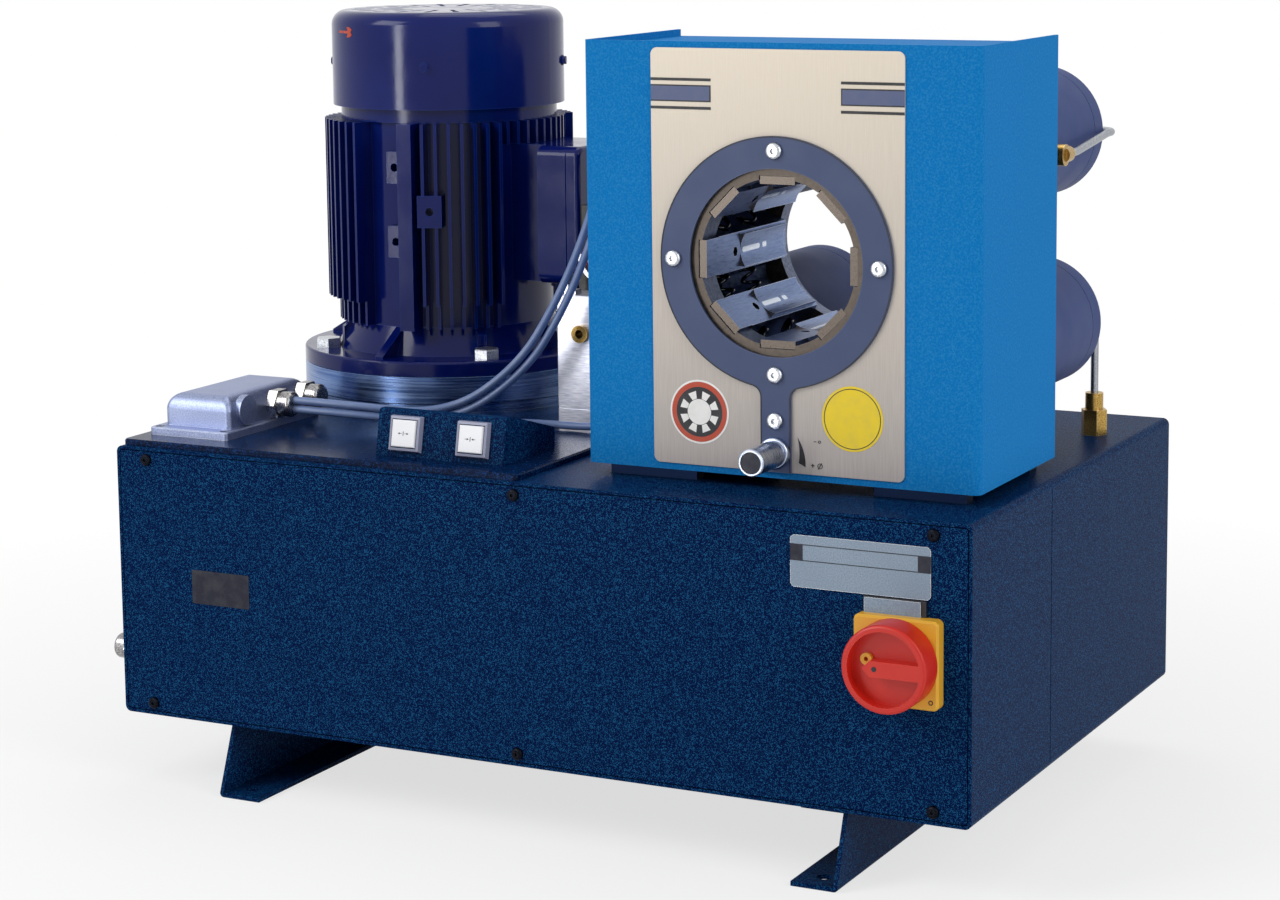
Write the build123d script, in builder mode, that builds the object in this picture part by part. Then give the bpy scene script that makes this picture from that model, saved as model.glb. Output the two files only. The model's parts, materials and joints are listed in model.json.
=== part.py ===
from build123d import *
from math import atan2, cos, degrees, hypot, pi, radians, sin, tan
import os

os.makedirs("parts", exist_ok=True)

# Electro-hydraulic hose crimping machine, in millimetres.
# Origin: on the floor at the centre of the four foot holes. +X is the operator's right,
# +Y points to the back of the machine, +Z is up. The crimping bore runs along Y.

# ---------------------------------------------------------------- driving dimensions
# cabinet
cabinet_width = 710.0
cabinet_depth = 440.0
cabinet_height = 213.0
casing_sheet = 2.5
casing_corner = 5.0
panel_sheet = 2.0
panel_gap = 0.8
lip_width = 18.0
panel_screw_inset = 9.5
panel_screw_side_inset = 28.0
panel_screw_radius = 2.0
panel_screw_head_radius = 4.6
panel_screw_head = 2.6
seam_setback = 160.0
seam_width = 1.2
vent_count = 8

# foot rails
foot_height = 55.0
rail_sheet = 3.5
rail_flange = 36.0
rail_spacing = 520.0
rail_slope = 20.0
rail_overhang = 10.0
foot_hole_radius = 5.5
foot_hole_inset = 18.0

# tank and its cover plate
tank_sheet = 2.0
tank_width = 365.0
tank_depth = 320.0
cover_plate_width = 353.0
cover_plate_margin = 4.0
cover_plate_thickness = 5.0

# motor and pump group, on a vertical axis
motor_x = -227.0
motor_y = 81.0
carrier_base_radius = 118.0
carrier_base_height = 9.0
carrier_ring_radius = 125.0
carrier_ring_height = 23.0
carrier_neck_radius = 74.0
carrier_neck_wall = 8.0
carrier_depth = 110.0
carrier_floor = 12.0
spigot_radius = 90.0
spigot_height = 4.0
flange_thickness = 12.0
shield_height = 22.0
shield_foot_radius = 97.0
bolt_circle_radius = 107.5
flange_bolt_radius = 6.0
flange_bolt_flats = 19.0
flange_bolt_head = 7.5
flange_bolt_grip = 18.0
stator_radius = 86.0
stator_bore_radius = 60.0
fin_radius = 104.0
fin_thickness = 2.4
fin_step_radius = 95.0
fin_step_height = 20.0
stator_height = 168.0
fin_pitch = 6.0
end_shield_radius = 90.0
end_shield_height = 23.0
cover_post_height = 25.0
cowl_radius = 96.5
cowl_wall = 1.5
cowl_edge = 12.0
cowl_overlap = 12.0
cowl_height = 78.0
shaft_radius = 14.0
rotor_radius = 58.0
rotor_length = 120.0
pump_shaft_radius = 9.0
coupling_radius = 22.0
coupling_length = 50.0
fan_radius = 80.0
fan_blades = 7
terminal_width = 100.0
terminal_height = 112.0
terminal_reach = 149.0
terminal_case_depth = 38.0
terminal_drop = 19.0
terminal_fin_radius = 97.0
pump_width = 80.0
pump_depth = 90.0
pump_height = 62.0

# valve group
valve_block_width = 72.0
valve_block_depth = 60.0
valve_block_height = 103.0
valve_block_x = -36.0
valve_block_y = 10.0
bracket_width = 10.0
bracket_height = 15.0
bracket_sheet = 3.5
gauge_radius = 25.0
gauge_case = 22.0

# push-button box
button_box_width = 110.0
button_box_x = -79.0
button_box_front = -193.0
button_box_length = 80.0
button_box_height = 34.5
button_box_lean = 7.0
button_box_tail = 16.0
button_box_wall = 2.0
bezel_size = 26.0
bezel_proud = 4.5
button_size = 20.5
button_proud = 6.0
button_spacing = 58.0
button_travel = 3.0

# junction box
junction_width = 73.0
junction_length = 131.0
junction_base_height = 6.0
junction_x = -306.5
junction_front = -193.0
junction_cover_width = 61.0
junction_cover_length = 112.0
junction_cover_height = 25.0
junction_wall = 2.5
cap_setback = 35.0
cap_radius = 11.8
cap_proud = 3.0
gland_pitch = 40.0

# crimping head
bore_x = 188.0
bore_z = 431.5
head_depth = 155.0
head_height = 309.5
head_front = -170.0
head_gap = 9.0
head_sheet = 2.5
head_corner = 6.0
top_recess = 5.0
trim_width = 195.0
trim_height = 300.0
trim_sheet = 1.0
mask_radius = 90.0
mask_bore_radius = 67.0
mask_sheet = 2.0
tongue_width = 23.4
mask_screw_circle = 79.5
mask_screw_drop = 112.5
mask_screw_radius = 3.0
mask_screw_head_radius = 6.2
mask_screw_head = 3.4
mask_screw_length = 14.0
mask_screw_socket = 2.0

# press: two plates joined by tie rods, a tapered ring and eight dies
plate_side_gap = 1.0
front_plate_thickness = 20.0
rear_plate_thickness = 15.0
plate_foot_width = 70.0
plate_foot_inset = 10.0
plate_foot_setback = 9.0
hub_radius = 67.7
ring_bore_radius = 60.0
rear_bore_radius = 61.0
tie_edge = 16.5
tie_radius = 11.0
tie_stud_radius = 8.0
die_count = 8
die_open_radius = 55.5
die_nose_thickness = 5.7
die_nose_width = 27.0
die_outer_radius = 108.0
die_side_gap = 1.5
die_end_clearance = 0.3
bed_height = 3.5
bed_width = 24.0
bed_length = 75.0
bed_trough_radius = 22.0
taper_angle = 24.0
taper_clearance = 0.2
taper_start_radius = 121.0
ring_travel = 45.0
press_ring_wall = 8.9
press_ring_side_gap = 14.5
rod_stud_radius = 9.0
press_ring_length = 40.0
spring_radius = 6.0
spring_wire = 2.6
spring_turns = 4.0
spring_pocket_depth = 7.0
spring_circle = 68.0
spring_setbacks = (22.0, 67.0)

# hydraulic cylinders behind the head
cylinder_spacing_x = 184.0
cylinder_spacing_z = 148.0
cylinder_radius = 50.0
cylinder_bore_radius = 40.0
cylinder_length = 141.0
cylinder_end = 14.0
cylinder_flange_radius = 56.0
cylinder_flange = 10.0
rod_radius = 12.0
piston_length = 25.0

# steel tubing
tube_radius = 3.0
tube_bend = 14.0
banjo_radius = 12.0
banjo_length = 14.0
adapter_reach = 30.0
adapter_height = 33.0

# crimp-size adjuster
adjuster_drop = 135.5
collar_radius = 11.5
collar_length = 5.0
knob_radius = 9.8
knob_length = 37.0
spindle_radius = 4.0
spindle_reach = 52.0

# main switch
switch_inset = 52.0
switch_height = 169.5
switch_plate_size = 62.5
switch_plate_thickness = 10.0
switch_knob_radius = 31.0
switch_knob_depth = 22.0
switch_body_size = 48.0
switch_body_depth = 42.0

# cables
cable_radius = 3.1
gland_flats = 22.0
gland_radius = 10.0
gland_nut = 8.0
gland_length = 20.0
gland_rounding = 3.0
gland_thread = 4.5
grommet_radius = 6.0
grommet_stud_radius = 4.5
grommet_flange = 5.0

# clearances
running_clearance = 0.05
slide_clearance = 0.3
hole_clearance = 0.5

# ---------------------------------------------------------------- derived places
half_width = cabinet_width / 2
half_depth = cabinet_depth / 2
switch_x = half_width - switch_inset
cabinet_bottom = foot_height
cabinet_top = foot_height + cabinet_height
cabinet_middle = foot_height + cabinet_height / 2
cover_plate_top = cabinet_top + cover_plate_thickness
carrier_top = cover_plate_top + carrier_base_height + carrier_ring_height
carrier_bottom = cabinet_top - carrier_depth
flange_top = carrier_top + flange_thickness
stator_bottom = flange_top + shield_height
stator_top = stator_bottom + stator_height
end_shield_top = stator_top + end_shield_height
cowl_bottom = end_shield_top - cowl_overlap
cowl_top = cowl_bottom + cowl_height
head_bottom = cabinet_top + head_gap
head_back = head_front + head_depth
front_plate_face = head_front + head_sheet
front_plate_back = front_plate_face + front_plate_thickness
rear_plate_back = head_back - 2.0
rear_plate_face = rear_plate_back - rear_plate_thickness
plate_top = head_bottom + head_height - top_recess - head_sheet
cylinder_back = rear_plate_back + cylinder_length
rod_circle = hypot(cylinder_spacing_x, cylinder_spacing_z) / 2
press_ring_radius = rod_circle + rod_stud_radius + press_ring_wall
head_width = 2 * (press_ring_radius + press_ring_side_gap + head_sheet)
plate_width = head_width - 2 * (head_sheet + plate_side_gap)
tie_spacing = plate_width - 2 * tie_edge
right_x = bore_x + cylinder_spacing_x / 2
left_x = bore_x - cylinder_spacing_x / 2
lower_z = bore_z - cylinder_spacing_z / 2
upper_z = bore_z + cylinder_spacing_z / 2
adapter_x = right_x + banjo_radius + adapter_reach
adapter_y = cylinder_back + banjo_length / 2
taper = tan(radians(taper_angle))
die_stroke = ring_travel * taper
half_pitch = 180.0 / die_count
press_ring_back = rear_plate_face - 2.0
press_ring_front = press_ring_back - press_ring_length
die_front = front_plate_back + die_end_clearance
die_back = rear_plate_face - die_end_clearance
foot_hole_x = rail_spacing / 2 - foot_hole_inset
foot_hole_y = half_depth + rail_overhang - foot_hole_inset


def front_plane(x, y, z):
    """Plane facing the operator: local x to the right, local y up, normal towards the front."""
    return Plane(origin=(x, y, z), x_dir=(1, 0, 0), z_dir=(0, -1, 0))


def side_plane(x):
    """Plane facing right: local x to the back, local y up, normal to the right."""
    return Plane(origin=(x, 0, 0), x_dir=(0, 1, 0), z_dir=(1, 0, 0))


def copies(piece, places):
    """The same piece at each place, as a group of separate solids."""
    with BuildPart() as group:
        with Locations(*places):
            add(piece)
    return group.part


def save(part, name):
    part.label = name
    export_step(part, f"parts/{name}.step")


# ---------------------------------------------------------------- cabinet
panel_width = cabinet_width - 2 * (casing_sheet + panel_gap)
panel_height = cabinet_height - 2 * (casing_sheet + panel_gap)
opening_width = cabinet_width - 2 * casing_sheet
opening_height = cabinet_height - 2 * casing_sheet
inner_corner = casing_corner - casing_sheet
panel_screw_points = [
    (x, z)
    for x in (-half_width + panel_screw_side_inset, 0, half_width - panel_screw_side_inset)
    for z in (-cabinet_height / 2 + panel_screw_inset, cabinet_height / 2 - panel_screw_inset)
]
neck_hole_radius = carrier_neck_radius + hole_clearance
mains_gland_y = -half_depth + 22.0
mains_gland_z = cabinet_bottom + 46.0
mains_gland_radius = 8.0

with BuildPart() as cabinet_casing:
    with BuildSketch(front_plane(0, -half_depth, cabinet_middle)):
        RectangleRounded(cabinet_width, cabinet_height, casing_corner)
        RectangleRounded(opening_width, opening_height, inner_corner, mode=Mode.SUBTRACT)
    extrude(amount=-cabinet_depth)
    # return lips that both panels are screwed to
    for lip_front in (-half_depth + panel_sheet, half_depth - panel_sheet - casing_sheet):
        with BuildSketch(front_plane(0, lip_front, cabinet_middle)):
            RectangleRounded(opening_width, opening_height, inner_corner)
            Rectangle(opening_width - 2 * lip_width, opening_height - 2 * lip_width, mode=Mode.SUBTRACT)
            with Locations(*panel_screw_points):
                Circle(panel_screw_radius + running_clearance, mode=Mode.SUBTRACT)
        extrude(amount=-casing_sheet)
    # top openings for the pump carrier and the pipe adapter
    with BuildSketch(Plane.XY.offset(cabinet_top)):
        with Locations((motor_x, motor_y)):
            Circle(neck_hole_radius)
        with Locations((adapter_x, adapter_y)):
            Circle(tube_radius + hole_clearance)
    extrude(amount=-casing_sheet, mode=Mode.SUBTRACT)
    # mains entry low on the left side
    with BuildSketch(side_plane(-half_width)):
        with Locations((mains_gland_y, mains_gland_z)):
            Circle(mains_gland_radius + running_clearance)
    extrude(amount=casing_sheet, mode=Mode.SUBTRACT)
    # shallow joint line down the right side
    with BuildSketch(side_plane(half_width)):
        with Locations((-half_depth + seam_setback, cabinet_middle)):
            Rectangle(seam_width, cabinet_height - 2 * casing_corner)
    extrude(amount=-casing_sheet / 3, mode=Mode.SUBTRACT)
save(cabinet_casing.part, "cabinet_casing")

switch_point = (switch_x, switch_height - cabinet_middle)
switch_neck_radius = 11.0

with BuildPart() as front_panel:
    with BuildSketch(front_plane(0, -half_depth, cabinet_middle)):
        RectangleRounded(panel_width, panel_height, inner_corner)
        with Locations(*panel_screw_points):
            Circle(panel_screw_radius + running_clearance, mode=Mode.SUBTRACT)
        with Locations(switch_point):
            Circle(switch_neck_radius + hole_clearance, mode=Mode.SUBTRACT)
    extrude(amount=-panel_sheet)
save(front_panel.part, "front_panel")

vent_pitch = 14.0
with BuildPart() as rear_panel:
    with BuildSketch(front_plane(0, half_depth - panel_sheet, cabinet_middle)):
        RectangleRounded(panel_width, panel_height, inner_corner)
        with Locations(*panel_screw_points):
            Circle(panel_screw_radius + running_clearance, mode=Mode.SUBTRACT)
        with Locations((cabinet_width / 4, 0)):
            with GridLocations(vent_pitch, cabinet_height / 3, vent_count, 2):
                SlotOverall(cabinet_height / 4, 5.0, rotation=90, mode=Mode.SUBTRACT)
    extrude(amount=-panel_sheet)
save(rear_panel.part, "rear_panel")

panel_screw_length = panel_sheet + casing_sheet + 3.0
with BuildPart() as panel_screw:
    with BuildSketch(front_plane(0, 0, 0)):
        Circle(panel_screw_head_radius)
    extrude(amount=panel_screw_head)
    fillet(panel_screw.faces().sort_by(Axis.Y)[0].edges(), 0.7 * panel_screw_head)
    with BuildSketch(front_plane(0, -panel_screw_head, 0)):
        RegularPolygon(0.3 * panel_screw_head_radius, 6, major_radius=False)
    extrude(amount=-panel_screw_head / 2, mode=Mode.SUBTRACT)
    with BuildSketch(front_plane(0, 0, 0)):
        Circle(panel_screw_radius)
    extrude(amount=-panel_screw_length)

screw_places = [Location((x, -half_depth, cabinet_middle + z)) for x, z in panel_screw_points]
screw_places += [Location((x, half_depth, cabinet_middle + z), (0, 0, 180)) for x, z in panel_screw_points]
save(copies(panel_screw.part, screw_places), "panel_screws")

rail_length = cabinet_depth + 2 * rail_overhang
with BuildPart() as foot_rails:
    with BuildSketch(front_plane(rail_spacing / 2, -rail_length / 2, 0)):
        with Locations((-rail_sheet / 2, foot_height / 2)):
            Rectangle(rail_sheet, foot_height)
        with Locations((-rail_flange / 2, rail_sheet / 2), (-rail_flange / 2, foot_height - rail_sheet / 2)):
            Rectangle(rail_flange, rail_sheet)
    extrude(amount=-rail_length)
    bend_edges = foot_rails.edges().filter_by(Axis.Y).group_by(Axis.X)[-1]
    fillet(bend_edges, rail_sheet - 0.5)
    # both ends lean in towards the top
    with BuildSketch(side_plane(0)):
        for end in (-1, 1):
            with BuildLine():
                Polyline(
                    (end * rail_length / 2, rail_sheet),
                    (end * (rail_length / 2 - rail_slope), foot_height),
                    (end * rail_length, foot_height),
                    (end * rail_length, rail_sheet),
                    close=True,
                )
            make_face()
    extrude(amount=rail_spacing, mode=Mode.SUBTRACT)
    with Locations((foot_hole_x, -foot_hole_y, 0), (foot_hole_x, foot_hole_y, 0)):
        Cylinder(foot_hole_radius, 3 * rail_sheet, mode=Mode.SUBTRACT)
    mirror(about=Plane.YZ)
save(foot_rails.part, "foot_rails")

tank_x = -half_width + casing_sheet + tank_width / 2 + 5.0
tank_y = half_depth - panel_sheet - casing_sheet - tank_depth / 2 - 3.0
tank_height = cabinet_height - 2 * casing_sheet
with BuildPart() as oil_tank:
    with BuildSketch(Plane.XY.offset(cabinet_bottom + casing_sheet)):
        with Locations((tank_x, tank_y)):
            RectangleRounded(tank_width, tank_depth, 8.0)
    extrude(amount=tank_height)
    offset(amount=-tank_sheet, openings=oil_tank.faces().sort_by(Axis.Z)[-1])
save(oil_tank.part, "oil_tank")

cover_plate_x = -half_width + cover_plate_margin + cover_plate_width / 2
cover_plate_depth = cabinet_depth - 2 * cover_plate_margin + 2.0
with BuildPart() as tank_cover_plate:
    with BuildSketch(Plane.XY.offset(cabinet_top)):
        with Locations((cover_plate_x, 0)):
            RectangleRounded(cover_plate_width, cover_plate_depth, 4.0)
        with Locations((motor_x, motor_y)):
            Circle(neck_hole_radius, mode=Mode.SUBTRACT)
    extrude(amount=cover_plate_thickness)
    chamfer(tank_cover_plate.faces().sort_by(Axis.Z)[-1].outer_wire().edges(), 1.2)
save(tank_cover_plate.part, "tank_cover_plate")

# ---------------------------------------------------------------- motor and pump
motor_axis = Axis((motor_x, motor_y, 0), (0, 0, 1))
motor_section = Plane(origin=(motor_x, motor_y, 0), x_dir=(1, 0, 0), z_dir=(0, -1, 0))


def motor_plane(z):
    """Horizontal plane centred on the motor axis."""
    return Plane(origin=(motor_x, motor_y, z), x_dir=(1, 0, 0), z_dir=(0, 0, 1))


def radial_plane(angle):
    """Upright plane through the motor axis: local x outwards at the angle, local y up."""
    a = radians(angle)
    return Plane(origin=(motor_x, motor_y, 0), x_dir=(cos(a), sin(a), 0), z_dir=(sin(a), -cos(a), 0))


carrier_base_top = cover_plate_top + carrier_base_height
bell_bore = carrier_neck_radius - carrier_neck_wall
pump_hub_radius = 25.0
with BuildPart() as pump_carrier:
    with BuildSketch(motor_section):
        with BuildLine():
            Polyline(
                (pump_hub_radius, carrier_bottom),
                (carrier_neck_radius, carrier_bottom),
                (carrier_neck_radius, cover_plate_top),
                (carrier_base_radius, cover_plate_top),
                (carrier_base_radius, carrier_base_top),
                (carrier_ring_radius, carrier_base_top),
                (carrier_ring_radius, carrier_top),
                (spigot_radius, carrier_top),
                (spigot_radius, carrier_top - spigot_height - 1.0),
                (bell_bore, carrier_top - spigot_height - 1.0),
                (bell_bore, carrier_bottom + carrier_floor),
                (pump_hub_radius, carrier_bottom + carrier_floor),
                close=True,
            )
        make_face()
    revolve(axis=motor_axis)
    chamfer(pump_carrier.edges().filter_by(GeomType.CIRCLE).group_by(SortBy.RADIUS)[-1], 0.8)
    # windows that let oil and hands reach the coupling
    with BuildSketch(motor_plane(carrier_bottom + carrier_floor + 8.0)):
        with PolarLocations(carrier_neck_radius, 4, start_angle=45):
            Rectangle(2 * carrier_neck_wall + 6.0, 50.0)
    extrude(amount=carrier_depth / 2, mode=Mode.SUBTRACT)
    with BuildSketch(motor_plane(carrier_top)):
        with PolarLocations(bolt_circle_radius, 4, start_angle=45):
            Circle(flange_bolt_radius)
    extrude(amount=-carrier_ring_height, mode=Mode.SUBTRACT)
save(pump_carrier.part, "pump_carrier")

bolt_boss_radius = 13.0
terminal_neck = terminal_reach - terminal_case_depth
terminal_top = stator_top - terminal_drop
terminal_bottom = terminal_top - terminal_height
cowl_inner = cowl_radius - cowl_wall
with BuildPart() as motor_flange:
    with BuildSketch(motor_section):
        with BuildLine():
            Polyline(
                (shaft_radius + running_clearance, carrier_top - spigot_height),
                (spigot_radius - running_clearance, carrier_top - spigot_height),
                (spigot_radius - running_clearance, carrier_top),
                (carrier_ring_radius, carrier_top),
                (carrier_ring_radius, flange_top),
                (shield_foot_radius, flange_top),
                (stator_radius, stator_bottom),
                (shaft_radius + running_clearance, stator_bottom),
                close=True,
            )
        make_face()
    revolve(axis=motor_axis)
    rim_edges = motor_flange.edges().filter_by(GeomType.CIRCLE).group_by(SortBy.RADIUS)[-1]
    fillet(rim_edges.sort_by(Axis.Z)[-1], 2.0)
    # gussets between the flange and the shield, and a boss under each bolt
    with BuildSketch(*[radial_plane(angle) for angle in range(0, 360, 45)]):
        with BuildLine():
            Polyline(
                (stator_radius - 8.0, flange_top - 1.0),
                (carrier_ring_radius - 6.0, flange_top - 1.0),
                (carrier_ring_radius - 6.0, flange_top + 2.0),
                (stator_radius, stator_bottom),
                (stator_radius - 8.0, stator_bottom),
                close=True,
            )
        make_face()
    extrude(amount=3.5, both=True)
    with BuildSketch(motor_plane(flange_top)):
        with PolarLocations(bolt_circle_radius, 4, start_angle=45):
            Circle(bolt_boss_radius)
    extrude(amount=shield_height, mode=Mode.SUBTRACT)
    with BuildSketch(motor_plane(carrier_top)):
        with PolarLocations(bolt_circle_radius, 4, start_angle=45):
            Circle(flange_bolt_radius + hole_clearance)
    extrude(amount=flange_thickness, mode=Mode.SUBTRACT)
save(motor_flange.part, "motor_flange")

flange_bolt_length = flange_thickness + flange_bolt_grip
with BuildPart() as flange_bolt:
    with BuildSketch():
        RegularPolygon(flange_bolt_flats / 2, 6, major_radius=False)
    extrude(amount=flange_bolt_head)
    chamfer(flange_bolt.faces().sort_by(Axis.Z)[-1].edges(), 0.8)
    with BuildSketch():
        Circle(flange_bolt_radius - running_clearance)
    extrude(amount=-flange_bolt_length)
bolt_reach = bolt_circle_radius * cos(radians(45))
bolt_points = [(motor_x + x * bolt_reach, motor_y + y * bolt_reach) for x in (-1, 1) for y in (-1, 1)]
bolt_places = [Location((x, y, flange_top)) for x, y in bolt_points]
save(copies(flange_bolt.part, bolt_places), "flange_bolts")

# cooling fins stand all round except at the foot pads and behind the terminal box
foot_rib_angle = -80.0
foot_rib_width = 12.0
smooth_arc = 30.0
smooth_centre = foot_rib_angle - 8.0
terminal_arc = 2 * degrees(0.5 * terminal_width / stator_radius)


def near_pad(angle):
    """True on the two smooth stretches that carry the foot pads."""
    return abs((angle - smooth_centre + 90.0) % 180.0 - 90.0) < smooth_arc / 2


def near_box(angle):
    """True behind the terminal box."""
    return abs((angle + 180.0) % 360.0 - 180.0) < terminal_arc / 2


all_angles = [fin_pitch * i for i in range(int(360 / fin_pitch))]
fin_angles = [angle for angle in all_angles if not near_pad(angle) and not near_box(angle)]
short_fin_angles = [angle for angle in all_angles if near_box(angle)]
post_angles = (-72, 18, 108, 198)


def fin_ring(outer, angles):
    """Sketch of fins from inside the frame out to a radius."""
    length = outer - stator_radius + 4.0
    middle = outer - length / 2
    with BuildSketch(mode=Mode.PRIVATE) as ring:
        for angle in angles:
            with PolarLocations(middle, 1, start_angle=angle):
                Rectangle(length, fin_thickness)
    return ring.sketch


with BuildPart() as motor_housing:
    with BuildSketch(motor_plane(stator_bottom)):
        Circle(stator_radius)
        Circle(stator_bore_radius, mode=Mode.SUBTRACT)
    extrude(amount=stator_height)
    with BuildSketch(motor_plane(stator_bottom + fin_step_height)):
        add(fin_ring(fin_radius, fin_angles))
    extrude(amount=stator_height - fin_step_height)
    with BuildSketch(motor_plane(stator_bottom)):
        add(fin_ring(fin_step_radius, fin_angles))
    extrude(amount=fin_step_height)
    # short fins above the terminal box
    with BuildSketch(motor_plane(terminal_top + slide_clearance)):
        add(fin_ring(terminal_fin_radius, short_fin_angles))
    extrude(amount=terminal_drop - slide_clearance)
    # foot ribs, front and back, each with three drilled pads
    for turn in (0, 180):
        rib_angle = foot_rib_angle + turn
        with BuildSketch(motor_plane(stator_bottom)):
            with PolarLocations(fin_radius - 10.0, 1, start_angle=rib_angle):
                Rectangle(24.0, foot_rib_width)
        extrude(amount=stator_height)
        for pad_angle, pad_rise, pad_radius, pad_width in (
            (rib_angle - 6.0, 0.43 * stator_height, fin_radius - 3.0, 14.0),
            (rib_angle - 6.0, 0.79 * stator_height, fin_radius - 3.0, 14.0),
            (rib_angle + 11.0, 0.58 * stator_height, fin_radius + 1.0, 20.0),
        ):
            pad_z = stator_bottom + pad_rise
            with BuildSketch(motor_plane(pad_z - 13.0)):
                with PolarLocations(pad_radius - 10.0, 1, start_angle=pad_angle):
                    Rectangle(20.0, pad_width)
            extrude(amount=26.0)
            pad_a = radians(pad_angle)
            pad_face = Plane(
                origin=(motor_x + pad_radius * cos(pad_a), motor_y + pad_radius * sin(pad_a), pad_z),
                x_dir=(-sin(pad_a), cos(pad_a), 0),
                z_dir=(cos(pad_a), sin(pad_a), 0),
            )
            with BuildSketch(pad_face):
                Circle(3.4)
            extrude(amount=-12.0, mode=Mode.SUBTRACT)
    # seat for the terminal box
    with BuildSketch(motor_plane(terminal_bottom)):
        with Locations(((stator_radius + terminal_neck) / 2 - 5.0, 0)):
            Rectangle(terminal_neck - stator_radius + 10.0, 0.7 * terminal_width)
    extrude(amount=terminal_height)
    # upper end shield with its bearing bore and the posts that carry the cowl
    with BuildSketch(motor_plane(stator_top)):
        Circle(end_shield_radius)
        Circle(shaft_radius + running_clearance, mode=Mode.SUBTRACT)
    extrude(amount=end_shield_height)
    with BuildSketch(motor_plane(stator_top)):
        Circle(stator_bore_radius)
    extrude(amount=end_shield_height / 2, mode=Mode.SUBTRACT)
    with BuildSketch(motor_plane(end_shield_top)):
        for angle in post_angles:
            with PolarLocations(cowl_inner - 6.0, 1, start_angle=angle):
                Rectangle(11.0, 12.0)
    extrude(amount=cover_post_height)
save(motor_housing.part, "motor_housing")

with BuildPart() as terminal_box:
    with BuildSketch(motor_plane(terminal_bottom)):
        with Locations((terminal_reach - terminal_case_depth / 2, 0)):
            Rectangle(terminal_case_depth, terminal_width)
    extrude(amount=terminal_height)
    fillet(terminal_box.edges().filter_by(Axis.X), 9.0)
    fillet(terminal_box.faces().sort_by(Axis.X)[-1].edges(), 4.0)
    # joint line between the box and its lid
    with BuildSketch(motor_plane(terminal_bottom)):
        with Locations((terminal_reach - 12.0, 0)):
            Rectangle(1.0, terminal_width)
            Rectangle(1.0, terminal_width - 2.0, mode=Mode.SUBTRACT)
    extrude(amount=terminal_height, mode=Mode.SUBTRACT)
    with Locations((motor_x + terminal_reach - terminal_case_depth / 2, motor_y, terminal_bottom - 5.0)):
        Cylinder(gland_radius, 10.0)
save(terminal_box.part, "terminal_box")

with BuildPart() as fan_cover:
    with BuildSketch(motor_section):
        with BuildLine():
            Line((cowl_inner, cowl_bottom), (cowl_radius, cowl_bottom))
            Line((cowl_radius, cowl_bottom), (cowl_radius, cowl_top - cowl_edge))
            RadiusArc((cowl_radius, cowl_top - cowl_edge), (cowl_radius - cowl_edge, cowl_top), -cowl_edge)
            Line((cowl_radius - cowl_edge, cowl_top), (0, cowl_top))
            Line((0, cowl_top), (0, cowl_top - cowl_wall))
            Line((0, cowl_top - cowl_wall), (cowl_radius - cowl_edge, cowl_top - cowl_wall))
            RadiusArc(
                (cowl_radius - cowl_edge, cowl_top - cowl_wall),
                (cowl_inner, cowl_top - cowl_edge),
                cowl_edge - cowl_wall,
            )
            Line((cowl_inner, cowl_top - cowl_edge), (cowl_inner, cowl_bottom))
        make_face()
    revolve(axis=motor_axis)
    # air inlet: two rings of radial slots
    with BuildSketch(motor_plane(cowl_top)):
        with PolarLocations(0.74 * cowl_radius, 20):
            SlotOverall(0.18 * cowl_radius, 5.0)
        with PolarLocations(0.50 * cowl_radius, 20):
            SlotOverall(0.22 * cowl_radius, 4.0)
    extrude(amount=-2 * cowl_wall, mode=Mode.SUBTRACT)
save(fan_cover.part, "fan_cover")

fan_bottom = end_shield_top + 4.0
fan_height = cover_post_height + 8.0
with BuildPart() as fan:
    with BuildSketch(motor_plane(fan_bottom)):
        Circle(shaft_radius + 9.0)
        Circle(shaft_radius, mode=Mode.SUBTRACT)
    extrude(amount=fan_height)
    with BuildSketch(motor_plane(fan_bottom)):
        Circle(fan_radius)
        Circle(shaft_radius, mode=Mode.SUBTRACT)
    extrude(amount=3.0)
    with BuildSketch(motor_plane(fan_bottom)):
        with PolarLocations((fan_radius + shaft_radius + 7.0) / 2, fan_blades):
            Rectangle(fan_radius - shaft_radius - 7.0, 3.0)
    extrude(amount=fan_height)
save(fan.part, "fan")

shaft_top = fan_bottom + fan_height + 5.0
rotor_bottom = stator_bottom + (stator_height - rotor_length) / 2
pump_bore_depth = 20.0
coupling_bottom = carrier_bottom + carrier_floor + 12.0
pump_shaft_end = carrier_bottom - pump_bore_depth
with BuildPart() as motor_shaft:
    with BuildSketch(motor_section):
        with BuildLine():
            Polyline(
                (0, pump_shaft_end),
                (pump_shaft_radius, pump_shaft_end),
                (pump_shaft_radius, coupling_bottom),
                (coupling_radius, coupling_bottom),
                (coupling_radius, coupling_bottom + coupling_length),
                (shaft_radius, coupling_bottom + coupling_length),
                (shaft_radius, rotor_bottom),
                (rotor_radius, rotor_bottom),
                (rotor_radius, rotor_bottom + rotor_length),
                (shaft_radius, rotor_bottom + rotor_length),
                (shaft_radius, shaft_top),
                (0, shaft_top),
                close=True,
            )
        make_face()
    revolve(axis=motor_axis)
save(motor_shaft.part, "motor_shaft")

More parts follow.
